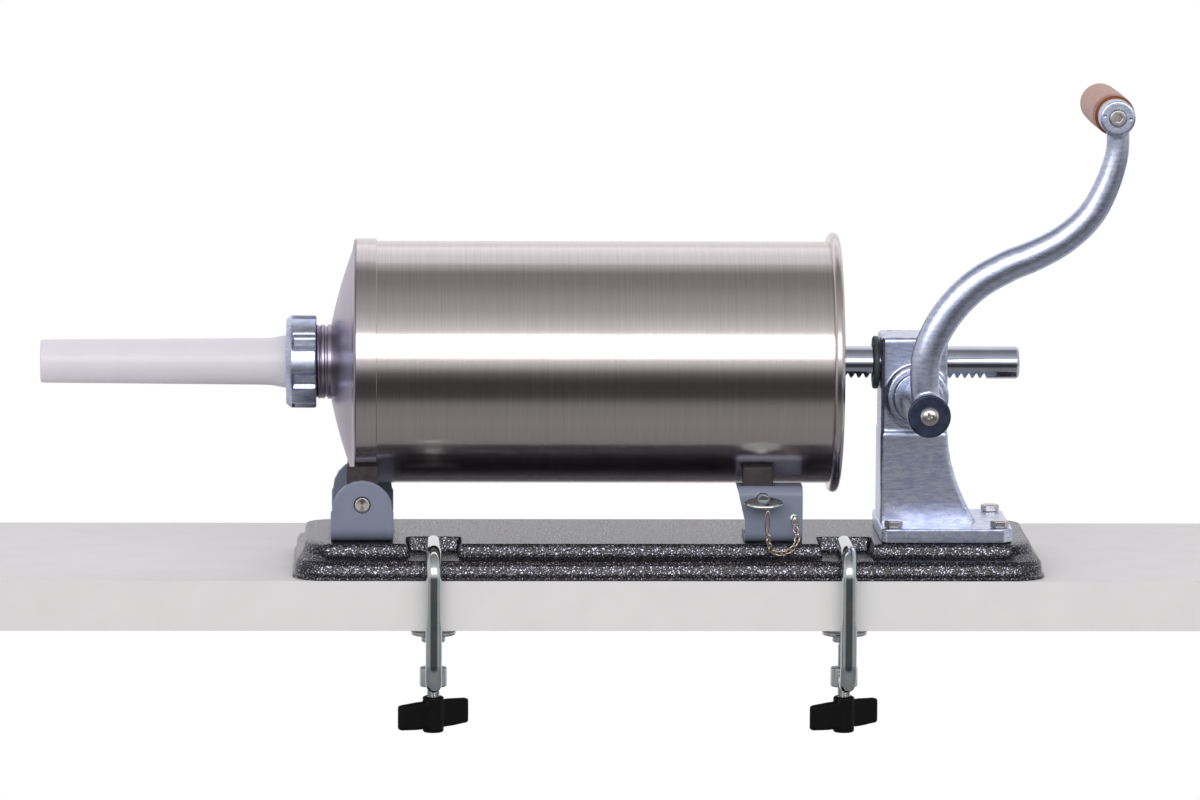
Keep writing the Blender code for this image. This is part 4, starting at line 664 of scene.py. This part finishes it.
def piece(name, bm, coat, body, stands_for, sharp=38):
    """A finished piece on its body, with its finish and the solids it stands for."""
    bmesh.ops.recalc_face_normals(bm, faces=bm.faces)
    made = placed(name, bm)
    mesh = made.data
    mesh.materials.append(coat)
    mesh.shade_smooth()
    mesh.set_sharp_from_angle(angle=math.radians(sharp))
    made.modifiers.new("flat faces stay flat", 'WEIGHTED_NORMAL').keep_sharp = True
    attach(made, body)
    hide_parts(*stands_for)
    print(name, len(mesh.polygons), "faces")


print("half way up a soft step is", gently(0.5))

# %% [markdown]
# ## The cylinder
# The tube is 150 mm across with a 1.5 mm wall, open at the crank end, where its edge is
# rolled outwards into a round bead. A cylinder primitive has no wall and no bead, so the
# wall and the bead are one closed profile on the lathe.

# %% Drawn tube with its rolled bead
INSIDE, OUTSIDE = 73.5, 75
bead_x, bead_r, roll_r = 103.1, 77.3, 3.4
rows = [(INSIDE, -192), (OUTSIDE, -192), (OUTSIDE, bead_x - 3.3)]
for k in range(19):
    angle = math.radians(-60 + k * 12)
    rows.append((bead_r + roll_r * math.cos(angle), bead_x + roll_r * math.sin(angle)))
rows.append((INSIDE, bead_x + 1.4))
piece("drawn_tube", turned(rows, AXIS, steps=192, closed=True), stainless,
      "base", ["cylinder_tube"])

# %% [markdown]
# ## The front cap and its neck
# A pressed cap closes the tube: a band that slips over it, a rounded edge and a shallow
# cone. The cone bulges a little, as pressed sheet does. The neck carries a thread of 3 mm
# pitch, and most of it hides inside the ring. The thread is a real helix, drawn as a
# closed sleeve whose outside climbs and falls once in every pitch.

# %% Cap
SPAN, RISE, BULGE = 23.3 - 69.5, 13.2, 0.9
cone = [(69.5 + SPAN * k / 12, -195 - RISE * k / 12 - math.sin(math.pi * k / 12) * BULGE)
        for k in range(1, 13)]
band = [(75.3, -180), (76.3, -180), (76.5, -180.2), (76.5, -192.6), (75.3, -192.6)]
piece("cap_band", turned(band, AXIS, steps=192, closed=True), stainless,
      "base", ["front_cone"])
outer = [(76.4, -192.7), (75.5, -194.0), (69.5, -195.05)] + cone
inner = [(74.9, -192.7), (74.3, -193.2)] + [(r, x + 1.3) for r, x in outer[2:]]
cap = turned(outer + inner[::-1], AXIS, steps=192, soft=0.7, closed=True)
piece("pressed_cone", cap, spun, "base", ["front_cone"])

# %% Threaded neck


def thread(crest, depth, pitch, start, end, centre, axis, steps, per_turn):
    """A helical thread as a closed sleeve between two places on its axis, in millimetres."""
    crest, depth, pitch, start, end = mm([(crest, depth, pitch, start, end)])[0]
    loops = []
    bore = crest - depth - 0.4 * MM
    count = int((end - start) / pitch * per_turn)
    for row in range(-1, count + 2):
        along = start + (end - start) * min(count, max(0, row)) / count
        loop = []
        for k, turn in enumerate(full_turn(steps)):
            phase = (along / pitch - k / steps) % 1
            radius = crest - depth * held(abs(phase - 0.5) * 3 - 0.35)
            if row in (-1, count + 1):
                radius = bore
            loop.append(around(axis, along, radius, turn) + centre)
        loops.append(loop)
    return skin(loops, ring=True)


rows = [(19.6, -230.2), (21.7, -230.2), (22.0, -229.4), (22.0, -214.4), (22.9, -214.0), (22.9, -212.4),
        (21.9, -211.8), (21.9, -210.8), (23.0, -210.2), (23.0, -205), (26, -205), (26, -203.6),
        (19.6, -203.6)]
neck = turned(rows, AXIS, soft=0.2, closed=True)
neck = together(neck, thread(23, 1, 3, -229.6, -214, AXIS, 'X', 96, 8))
piece("screw_neck", neck, spun, "base", ["threaded_neck"])

# %% [markdown]
# ## The nozzle and its ring
# The nozzle is a moulded tube that narrows a little towards its tip and flares at its
# root, where a flange is trapped between the neck and the ring. The ring is cast with
# seven lobes for wet hands. Between the lobes run scallops that stop short of the front
# edge, so the ring is skinned from loops whose scallop fades in with depth.

# %% Nozzle
rows = [(14.6, -230.5), (22.4, -230.5), (22.4, -232.5), (16.3, -232.6), (16.2, -236.5), (15.9, -239),
        (15.2, -242), (14.7, -245), (14.45, -250), (13.35, -387.2), (12.9, -388), (11.9, -388),
        (11.75, -387.4), (12.85, -250), (13.2, -244), (14.5, -236)]
piece("filling_nozzle", turned(rows, AXIS, steps=128, soft=0.5, closed=True), milky,
      "nozzle", ["nozzle"])

# %% Ring with seven lobes
LOBES, PER_LOBE = 7, 26
FIRST_LOBE = math.radians(173)


def lobed(radius, scallop, along):
    """One loop of the ring; scallop is how deep the hollows between lobes go."""
    loop = []
    for k in range(LOBES * PER_LOBE):
        share = (k % PER_LOBE) / PER_LOBE
        dip = gently(math.cos(2 * math.pi * (share - 0.5)) * 1.35 - 0.1)
        turn = 2 * math.pi * k / (LOBES * PER_LOBE) + FIRST_LOBE
        reach = (radius - scallop * dip) * MM
        loop.append(Vector((along * MM, reach * math.cos(turn), reach * math.sin(turn))) + AXIS)
    return loop


# Each row is a radius, a depth of scallop and a place along the axis.
front, rear = -236.0, -217.4
rows = [(16.5, 0, front + 0.3), (16.8, 0, front), (25.4, 0, front), (26.3, 0, front + 0.25),
        (28.2, 0, front + 2.6), (28.6, 0.15, front + 3.2)]
for k in range(9):
    fade = k / 8
    rows.append((28.7, 0.15 + 2.45 * math.sin(math.pi / 2 * fade), front + 3.5 + 1.9 * fade))
rows += [(28.7, 2.6, rear - 1.2), (28.4, 2.5, rear - 0.4), (27.7, 2.2, rear), (23.5, 0, rear),
         (23.3, 0, rear - 0.3), (23.3, 0, front + 3.2), (16.5, 0, front + 3.2)]
ring = skin([lobed(*row) for row in rows], ring=True)
piece("lobed_ring", ring, rubbed, "ring", ["nozzle_ring"], sharp=42)

# %% [markdown]
# ## The pressed base
# The base is one sheet pressed into a low box: a foot, a skirt, a ledge, a steep wall and
# a flat top, with two notches for the clamps. A box with bevels would miss the ledge and
# the soft mouths of the notches. Here the sheet is a grid of loops that step inwards, each
# point's height comes from the section of the pressing, and the notches press it down.
# Thickness comes last, so that the underside is hollow as on the real one.

# %% Section of the pressing
LENGTH, WIDTH, TOP = 463, 150, 20
NOTCHES = (-144.8, 109.4)
section = eased([(0, 0), (0, 1.6), (2.2, 2.3), (3.2, 3.8), (4.4, 8.6), (7.2, 11), (15, 12.2), (16.4, 13.6),
                 (18.1, 18.7), (19.8, TOP), (30, TOP)], 1.1, steps=4)
insets = [inset for inset, height in section if inset < 22]
heights = [height for inset, height in section if inset < 22]
insets += [26, 32, 38, 44] + [48 + 0.4 * k for k in range(15)] + [58, 64, 70, 73.5]
heights += [TOP] * (len(insets) - len(heights))
print(len(insets), "loops from the rim to the middle")

# %% Notch as a soft dent
HALF_NOTCH, NOTCH_BACK, NOTCH_CORNER = 16, -24.7, 3
NOTCH_FLOOR, NOTCH_EDGE = 11.3, 1.6
CLEAR_OF_SHEET = 10


def notch_height(x, y):
    """Height to which the clamp notches press the sheet at a point, in millimetres."""
    low = TOP + CLEAR_OF_SHEET
    for centre in NOTCHES:
        side = abs(x - centre) - HALF_NOTCH + NOTCH_CORNER
        back = y - NOTCH_BACK + NOTCH_CORNER
        outside = math.hypot(max(side, 0), max(back, 0)) + min(max(side, back), 0) - NOTCH_CORNER
        level = NOTCH_FLOOR + (TOP - NOTCH_FLOOR) * gently((outside + NOTCH_EDGE) / (2 * NOTCH_EDGE))
        low = min(low, level + (CLEAR_OF_SHEET if outside > NOTCH_EDGE else 0))
    return low


print("notch floor", NOTCH_FLOOR, "mm up, top", TOP, "mm up")

# %% Sheet of the base
spread = [-188 + 376 * k / 62 for k in range(63)]
for centre in NOTCHES:
    for sign in (-1, 1):
        spread += [centre + sign * (13.6 + 0.4 * k) for k in range(13)]
spread.sort()
spread = [x for k, x in enumerate(spread) if k == 0 or x - spread[k - 1] > 0.12]
loops = []
for inset, height in zip(insets, heights):
    half_x = LENGTH / 2 - inset * 7.5 / 19
    half_y = WIDTH / 2 - inset
    corner = min(20 - 3 * inset / 19, half_y - 0.3)
    points = []
    for sx, sy, start in ((1, 1, 0), (-1, 1, 90), (-1, -1, 180), (1, -1, 270)):
        for k in range(13):
            turn = math.radians(start + 90 * k / 12)
            points.append((sx * (half_x - corner) + corner * math.cos(turn),
                           sy * (half_y - corner) + corner * math.sin(turn)))
        if start in (0, 180):
            points += [(x, sy * half_y) for x in (spread[::-1] if sy > 0 else spread)]
    loop = []
    for x, y in points:
        z = height
        if inset > 8.4:
            # At the two front corners the steep wall softens into a slope.
            gentle = gently(held((abs(x) - 208) / 8) * held((-y - 30) / 15))
            slope = 11.2 + 8.8 * gently((inset - 8.4) / 15.6)
            z = height + (slope - height) * gentle
        loop.append(Vector((x, y, min(z, notch_height(x, y)) if y < 0 else z)) * MM)
    loops.append(loop)
sheet = worked(skin(loops, capped=False), ('WELD', {"merge_threshold": 0.01 * MM}))
rim = [edge for edge in sheet.edges if edge.is_boundary and min(v.co.z for v in edge.verts) > 15 * MM]
bmesh.ops.holes_fill(sheet, edges=rim, sides=0)
sheet = worked(sheet, ('SOLIDIFY', {"thickness": 1.8 * MM, "offset": -1}))
piece("pressed_base", sheet, hammertone, "base", ["base_plate"], sharp=50)

# %% [markdown]
# ## Sheet brackets and small hardware
# The yoke, the rear bracket, the saddle and the fasteners already have their true shape
# in the solids. What they lack is a broken edge. One function copies a solid's shape,
# merges its flat facets and rounds its edges, which is what powder paint or a file does.

# %% Solids with broken edges


def dressed(node, name, coat, width, segments=2, angle=40):
    """A solid's own shape with rounded edges and its real finish."""
    bm = bmesh.new()
    bm.from_mesh(nodes[node].data)
    bmesh.ops.remove_doubles(bm, verts=bm.verts, dist=0.002 * MM)
    bmesh.ops.dissolve_limit(bm, angle_limit=math.radians(2), verts=bm.verts, edges=bm.edges)
    bm = softened(bm, width, segments, angle)
    piece(name, bm, coat, nodes[node]["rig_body"], [node])


dressed("front_yoke", "yoke_bracket", powder, 0.8, 4)
dressed("rear_bracket", "lock_bracket", powder, 0.6, 3)
# The saddle and the lug get the dark steel, painted shade for the shadow under the tube.
dressed("hinge_saddle", "tube_saddle", pickled, 0.4)
dressed("locking_lug", "tube_lug", pickled, 0.4)
for number in (1, 2, 3):
    dressed("housing_bolt_%d" % number, "foot_bolt_%d" % number, screw_steel, 0.25, 2, 20)

# %% [markdown]
# ## Hinge shaft
# A plain steel shaft joins the yoke's ears. Its faced end shows in the near ear, with the
# star of light that circular turning marks make. Marks round the axis spread light across
# themselves, which Blender's anisotropy does when its tangent runs round the shaft.

# %% Faced shaft
faced, tree, metal, place = finish("faced stainless", {
    "Base Color": linear("#cfcac6"), "Metallic": 1.0, "Anisotropic": 0.85})
round_axis = add(tree, "ShaderNodeTangent", {"direction_type": 'RADIAL', "axis": 'Y'})
tree.links.new(round_axis.outputs[0], metal.inputs["Tangent"])
rough = reckon(tree, 'MULTIPLY_ADD', noise(tree, place, 0.5, 2), 0.2, 0.2)
tree.links.new(rough, metal.inputs["Roughness"])
pin = middle("hinge_shaft")
pin.y = 0
near, far = (corner.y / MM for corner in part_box("hinge_shaft"))
rows = [(0, near + 0.3), (3.6, near), (4.2, near), (4.9, near + 0.7), (4.9, far - 0.7), (4.2, far), (0, far)]
piece("faced_shaft", turned(rows, pin, 'Y', 64, soft=0.15), faced, "base", ["hinge_shaft"])

# %% [markdown]
# ## The cast gear housing
# The housing is a sand casting: a column that spreads to its foot, a square head round the
# gears, and a round boss for the crank. Castings have a small fillet in every corner. They
# could be bevelled one by one, but a remesh of the united blocks followed by smoothing
# rounds them all at once, inside and out. The foot flange was milled, so it stays crisp.

# %% Column, head and boss
LEFT, RIGHT, STEP = 132, 174, 85.7
foot_top = 29.1
side = [(LEFT + 0.1, 24), (192, 24)]
for k in range(17):
    share = 1 - k / 16
    side.append((RIGHT - 0.1 + 18 * share ** 1.9, foot_top + (STEP - foot_top) * (1 - share)))
side.append((LEFT + 0.1, STEP))
column = softened(prism(mm(side), (2 - 23.3) * MM, (2 + 23.3) * MM), 2.2)
head_side = [(132.5, 80), (173.6, 80), (173.6, 144.1), (132.5, 144.1)]
head = softened(prism(mm(head_side), -19.9 * MM, 23.9 * MM), 2.6)
casting = cut(cut(column, head, 'UNION'), rod(19.2, 6, -26, CRANK, 'Y', 64, soft=0.9), 'UNION')
casting = cut(casting, rod(12.4, 120, 190, AXIS, 'X', 48))
oil_place = Vector((139.5 * MM, 17 * MM, 0))
casting = cut(casting, rod(1.7, 136, 150, oil_place, 'Z', 24))
casting = cast(casting, 0.75, 5)
print("cast body", len(casting.faces), "faces")

# %% Milled foot flange
flange = [(134.1, -55), (206.2, -55), (212.2, -49), (212.2, 32), (206.2, 38), (134.1, 38), (131.1, 35),
          (131.1, -52)]
foot = softened(prism(mm(flange), 20.3 * MM, foot_top * MM, 'Z'), 0.9)
housing = together(cut(casting, rod(8.3, -27, 26, CRANK, 'Y', 48)), foot)
piece("cast_housing", housing, aluminium, "base", ["gear_housing"], sharp=34)

# %% [markdown]
# ## Bushes and wiper
# A flanged bush closes the boss and carries the crank's sleeve. A rubber wiper hugs the
# rack where it enters the housing. Both are short turned rings.

# %% Flanged bush and wiper
rows = [(5.6, -29.9), (14.6, -29.9), (15.8, -29.0), (15.8, -26.3), (8, -26.3), (8, -10), (5.6, -10)]
piece("flanged_bush", turned(rows, CRANK, 'Y', soft=0.5, closed=True), aluminium,
      "base", ["crank_bush_front"])
rows = [(10.3, 128.1), (15.7, 128.1), (16.4, 128.8), (16.4, 131.0), (15.7, 131.7), (10.3, 131.7)]
piece("rubber_wiper", turned(rows, AXIS, soft=0.4, closed=True), rubber, "base", ["rack_wiper"])

# %% [markdown]
# ## The rack
# The bar is 20 mm across and hard chromed, with straight 25 degree teeth cut along its
# underside. Modelling each tooth face by hand would take long; a comb of seventy tooth
# spaces cuts them in one Boolean, in step with the pinion.

# %% Chromed rack
MODULE, SPACES, PLAY, SLOPE = 1.5, 70, 0.34, math.tan(math.radians(25))
MESH_X, RACK_END, BARE_END = 154.7, 219, 21
MOUTH, FLOOR = 10.7 * MM, 6.125 * MM
pitch = math.pi * MODULE
quarter = pitch / 4 + PLAY / 4
# Half of a space's width at its mouth and at its floor, which lie 2.7 mm outside and
# 1.875 mm inside the pitch line.
half_mouth, half_floor = quarter + 2.7 * SLOPE, quarter - 1.875 * SLOPE
last = int((RACK_END - BARE_END - MESH_X) / pitch)
near, far = AXIS.y - 12 * MM, AXIS.y + 12 * MM
spaces = []
for k in range(SPACES):
    x = MESH_X + (last - k) * pitch
    spaces.append(prism([((x - half_mouth) * MM, AXIS.z - MOUTH), ((x + half_mouth) * MM, AXIS.z - MOUTH),
                         ((x + half_floor) * MM, AXIS.z - FLOOR), ((x - half_floor) * MM, AXIS.z - FLOOR)],
                        near, far))
rows = [(0, -178.6), (5, -178.6), (6, -177.6), (6, -150), (10, -150), (10, 217.4), (9.2, 218.5),
        (8.4, RACK_END), (0, RACK_END)]
flat = prism(mm([(-151, 112), (198, 112), (198, 116.5), (-151, 116.5)]), near, far)
bar = cut(cut(turned(rows, AXIS, steps=64), flat), together(*spaces))
piece("toothed_rack", bar, chrome, "piston", ["rack_bar"], sharp=30)

# %% [markdown]
# ## The crank arm
# The arm is cast in one with its hub and the eye for the grip. Its bar leaves the hub
# upwards, swings out over the rack in a lazy S and turns up to the eye. The bar is an oval
# section carried along that line. Hub, bar and eye are united, remeshed and smoothed, so
# that they flow into each other as the casting does.

# %% Arm
FRONT = -119.0
OVER, UP = 112.2 * MM, 181.1 * MM
EYE = Vector((CRANK.x + OVER, 0, CRANK.z + UP))
# The bar's line as shares of the way over and up to the eye.
curve = ((-0.01, 0.03), (-0.022, 0.10), (-0.01, 0.20), (0.054, 0.295), (0.152, 0.38), (0.276, 0.449),
         (0.436, 0.504), (0.56, 0.535), (0.72, 0.589), (0.857, 0.666), (0.943, 0.758), (1.0, 0.866),
         (1.008, 0.943), (1.0, 0.995))
depth = (FRONT + 7.5 + 0.8) * MM
path = smooth_path([(CRANK.x + OVER * a, depth, CRANK.z + UP * b) for a, b in curve], 5)
sections = []
for k in range(len(path)):
    share = k / (len(path) - 1)
    swell = math.sin(math.pi * min(share * 1.15, 1.0))
    sections.append(((8.2 - 1.4 * share + 2.2 * swell) * MM, (6.0 + 0.5 * swell - 0.4 * share) * MM))
arm = swept(path, sections, (0, 1, 0), 32)
rows = [(0, FRONT), (13, FRONT), (13, FRONT + 15), (12.2, FRONT + 16), (12.2, -30.8), (11.6, -30.2),
        (0, -30.2)]
arm = cut(arm, turned(rows, CRANK, 'Y', 64, soft=0.8), 'UNION')
arm = cut(arm, rod(10.8, FRONT, FRONT + 17, EYE, 'Y', 64, soft=1.0), 'UNION')
arm = cast(arm, 0.65, 5)
arm = cut(arm, rod(5.5, FRONT - 3, FRONT + 2.6, EYE, 'Y', 48))
for angle in (-5, 172):
    dimple = bmesh.new()
    bmesh.ops.create_icosphere(dimple, subdivisions=3, radius=1.7 * MM)
    place = EYE + around('Y', (FRONT - 0.9) * MM, 7.9 * MM, math.radians(angle))
    bmesh.ops.translate(dimple, verts=dimple.verts, vec=place)
    arm = cut(arm, dimple)
# The cuts can leave a facet open, and it is closed here.
bmesh.ops.holes_fill(arm, edges=[edge for edge in arm.edges if edge.is_boundary], sides=0)
piece("cast_arm", arm, rubbed, "crank", ["crank_arm"], sharp=45)

# %% [markdown]
# ## Hub washer and screw
# A dark machined washer and a cross-slotted pan-head screw close the hub. The cross is
# A machined washer, dark navy by a painted reflection of the dark room in front, and a cross-slotted
# pan-head screw close the hub. The cross is cut with two tapering bars, as the punch that formed it.

# %% Washer, cross-slotted screw and grip bolt
rows = [(3.0, FRONT - 3.0), (12.3, FRONT - 3.0), (13.0, FRONT - 2.3), (13.0, FRONT - 0.3), (3.0, FRONT - 0.3)]
piece("faced_washer", turned(rows, CRANK, 'Y', soft=0.2, closed=True), machined,
      "crank", ["hub_washer"])
seat = FRONT - 3.3
rows = [(0, seat - 3.2), (2.2, seat - 3.1), (4.2, seat - 2.5), (5.6, seat - 1.3), (6.1, seat), (2.6, seat),
        (2.6, FRONT + 3), (0, FRONT + 3)]
pan = turned(rows, CRANK, 'Y', 64, soft=0.5)
for angle in (20, 110):
    turn = math.radians(angle)
    bar = []
    for depth, half, thick in ((-0.4 + seat - 3.2, 3.3, 0.85), (seat - 1.0, 1.6, 0.55)):
        corners = ((half, thick), (-half, thick), (-half, -thick), (half, -thick))
        bar.append([(CRANK.x + (a * math.cos(turn) - b * math.sin(turn)) * MM, depth * MM,
                     CRANK.z + (a * math.sin(turn) + b * math.cos(turn)) * MM) for a, b in corners])
    pan = cut(pan, skin(bar))
piece("cross_slotted_screw", pan, screw_steel, "crank", ["hub_screw"], sharp=30)
top = FRONT + 2.3 - 3.6
rows = [(0, top), (4.6, top), (5.2, top + 0.6), (5.2, top + 3.6), (3.8, top + 3.6), (3.8, 1.5), (0, 1.5)]
bolt = turned(rows, EYE, 'Y', 64, soft=0.3)
hexagon = [(EYE.x + 3.0 * MM * math.cos(turn), EYE.z + 3.0 * MM * math.sin(turn)) for turn in full_turn(6)]
bolt = cut(bolt, prism(hexagon, (top - 1) * MM, (top + 1.9) * MM))
piece("socket_bolt", bolt, screw_steel, "crank", ["grip_bolt"], sharp=30)

# %% [markdown]
# ## The grip
# The grip is turned from beech on a lathe, so it is a profile too: a small chamfer at the
# arm, two grooves, a faint belly and a rounded end. It turns freely on its bolt.

# %% Beech grip
start = grip_low.y / MM
end = grip_high.y / MM
rows = [(4.1, start), (10.4, start), (12.2, start + 1.6)]
for groove in (7, 12):
    rows += [(12.4, start + groove - 0.9), (11.8, start + groove), (12.4, start + groove + 0.9)]
rows += [(12.6, start + 40), (12.6, start + 65), (12.2, end - 7), (11.6, end - 3.4), (10, end - 0.8),
         (8.4, end), (6.8, end), (6.8, end - 6), (4.1, end - 6)]
piece("beech_grip", turned(rows, EYE, 'Y', soft=0.5, closed=True), beech, "grip", ["crank_grip"])

# %% [markdown]
# ## Locking pin and its chain
# The pin that holds the cylinder down has a flat oval head. A wire link hangs from it and
# a short chain of oval links runs down over the ledge and up to the bracket. A row of
# links could be instanced along a curve, but each link here is its own swept ring, turned a
# quarter against the last, so the chain is a real chain when seen close.

# %% Pin with an oval head
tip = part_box("locking_pin")[1].y / MM
lock = Vector((57.8 * MM, 0, 47.1 * MM))
shank = turned([(0, -60), (3.9, -60), (3.9, tip - 1), (3.1, tip), (0, tip)], lock, 'Y', 48, soft=0.4)
centre = Vector((57.8, -62.0, 46.1)) * MM
rows = [(0, -1.3), (11, -1.3), (12, -0.5), (12, 0.5), (11, 1.3), (0, 1.3)]
oval = turned(rows, Vector((0, 0, 0)), 'Z', 64, soft=0.5)
bmesh.ops.scale(oval, verts=oval.verts, vec=(1, 7.5 / 12, 1))
bmesh.ops.rotate(oval, verts=oval.verts, cent=(0, 0, 0), matrix=Matrix.Rotation(math.radians(17), 3, 'X'))
bmesh.ops.translate(oval, verts=oval.verts, vec=centre)
eye = rod(1.5, 38, 54, Vector((59.8 * MM, -67 * MM, 0)), 'Z', 24)
piece("oval_head_pin", cut(cut(shank, oval, 'UNION'), eye), zinc, "pin", ["locking_pin"], sharp=32)

# %% Wire link and chain


def link(centre, along, across, length, width, wire):
    """One closed oval link of round wire; its length, width and wire are in millimetres."""
    length, width, wire = mm([(length, width, wire)])[0]
    along, across = along.normalized(), across.normalized()
    path = [centre + along * (length / 2 * math.cos(turn)) + across * (width / 2 * math.sin(turn))
            for turn in full_turn(20)]
    return swept(path, [(wire, wire)] * len(path), along.cross(across), 8, ring=True)


route = smooth_path([Vector(point) * MM for point in (
    (59.8, -67.6, 29.5), (60.8, -66.0, 22.5), (62.6, -63.4, 17.0), (66.5, -62.8, 15.4), (71.0, -62.8, 15.6),
    (76.0, -62.2, 18.6), (78.6, -60.0, 24.4), (77.6, -56.6, 30.8))], 12)
links = [link(Vector((59.8, -67.2, 35.4)) * MM, Vector((0.04, -0.05, 1)), Vector((1, 0, 0)),
              13.6, 2.4, 0.6)]
travelled, step_length = 0.0, 3.1 * MM
for here, after in zip(route, route[1:]):
    travelled += (after - here).length
    if travelled >= step_length:
        travelled -= step_length
        ahead = (after - here).normalized()
        side = ahead.cross(Vector((0.2, 1, 0.1))).normalized()
        side = Matrix.Rotation(math.radians(35 if len(links) % 2 else 125), 3, ahead) @ side
        links.append(link(after, ahead, side, 4.6, 3.3, 0.52))
links.append(link(Vector((77.3, -52.8, 34.2)) * MM, Vector((0.05, 0.75, 0.62)), Vector((1, 0, 0)),
                  7.6, 3.0, 0.5))
piece("link_chain", together(*links), nickel, "base", ["pin_chain"], sharp=60)

# %% [markdown]
# ## Bench clamps
# Each clamp is a bent rod that hooks into a notch of the base, runs down over the bench's
# edge and back below it, where a screw with a pad presses up. The rod is a round section
# swept round two bends. The screw has a real 1.25 mm thread, and its wing nut is moulded:
# hub and wings are united, remeshed and smoothed like the castings.

# %% Rods, pads, screws and wing nuts
SPINDLE_Y, HIGH, LOW, BEND, FOREMOST = -41.0, 16.6, -64.8, 14.0, -84.0
turns = [math.pi / 24 * k for k in range(13)]
rod_line = [(-28.0, HIGH), (-30.0, HIGH), (-50.0, HIGH)]
rod_line += [(FOREMOST + BEND - BEND * math.sin(turn), HIGH - BEND + BEND * math.cos(turn)) for turn in turns]
rod_line += [(FOREMOST + BEND - BEND * math.cos(turn), LOW + BEND - BEND * math.sin(turn)) for turn in turns]
rod_line.append((SPINDLE_Y - 4, LOW))
rod_sections = [(4.2 * MM, 4.2 * MM)] + [(5 * MM, 5 * MM)] * (len(rod_line) - 1)
PAD_ROWS = [(0, -35.5), (13.2, -35.5), (14, -36.1), (14, -37.9), (13, -38.5), (8.6, -38.9), (7.5, -39.6),
            (7.5, -42.2), (6.7, -43), (3.7, -43), (3.7, -38.5), (0, -38.5)]
SCREW_ROWS = [(0, -93.5), (3.35, -93.5), (3.35, -44.5), (3.4, -43.5), (3.4, -39.5), (2.4, -38.9), (0, -38.9)]
WINGS = [(-26.3, -96), (-13, -97), (13, -97), (26.3, -96), (26.3, -80.6), (13, -79.8), (-13, -79.8),
         (-26.3, -80.6)]
ORIGIN = Vector((0, 0, 0))
for side_name, x in zip(("left", "right"), NOTCHES):
    path = [Vector((x, y, z)) * MM for y, z in rod_line]
    foot_place = Vector((x * MM, SPINDLE_Y * MM, 0))
    bent = swept(path, rod_sections, (1, 0, 0), 32)
    bent = cut(bent, rod(8.5, LOW - 6, LOW + 6, foot_place, 'Z', 48, soft=1.2), 'UNION')
    bent = cut(bent, rod(4.3, LOW - 20, LOW + 20, foot_place, 'Z', 32))
    peg = rod(2.4, -34, -20.6, Vector((x * MM, 0, HIGH * MM)), 'Y', 24)
    piece("bent_rod_" + side_name, together(bent, peg), zinc,
          "base", ["clamp_rod_" + side_name], sharp=32)
    piece("pressure_pad_" + side_name, turned(PAD_ROWS, foot_place, 'Z', 64, soft=0.4), zinc,
          "pad_" + side_name, ["clamp_pad_" + side_name])
    screw = together(turned(SCREW_ROWS, foot_place, 'Z', 32),
                     thread(4, 0.6, 1.25, -93, -45, foot_place, 'Z', 32, 7))
    piece("clamp_screw_" + side_name, screw, zinc,
          "screw_" + side_name, ["clamp_spindle_" + side_name], sharp=60)
    wings = softened(prism(mm(WINGS), -2.6 * MM, 2.6 * MM), 1.4)
    wing = cut(rod(6.6, -99.5, -77, ORIGIN, 'Z', 48, soft=1.2), wings, 'UNION')
    wing = cast(cut(wing, rod(4.4, -93, -70, ORIGIN, 'Z', 32)), 0.7, 4)
    bmesh.ops.rotate(wing, verts=wing.verts, cent=ORIGIN, matrix=Matrix.Rotation(math.radians(37), 3, 'Z'))
    bmesh.ops.translate(wing, verts=wing.verts, vec=foot_place)
    piece("wing_nut_" + side_name, wing, nylon,
          "screw_" + side_name, ["wing_handle_" + side_name], sharp=60)

# %% [markdown]
# ## Finishes for the solids that stay
# The piston, the pinion, the bushes, the nuts and the screws keep the shape of their
# solids. They sit inside or below the machine, and each gets its real finish here. Those
# that aren't named are plain steel.

# %% Dress the remaining solids
stays = {
    "piston_disc": aluminium, "piston_seal": rubber, "shaft_collar": zinc, "grip_nut": zinc,
    "rack_bush_left": bronze, "rack_bush_right": bronze, "crank_bush_rear": bronze}
for name, solid in nodes.items():
    if solid.hide_render:
        continue
    coat = stays.get(name, screw_steel)
    if not solid.material_slots:
        solid.data.materials.append(coat)
    for spot in solid.material_slots:
        spot.material = coat
print(sum(not solid.hide_render for solid in nodes.values()), "solids stay")
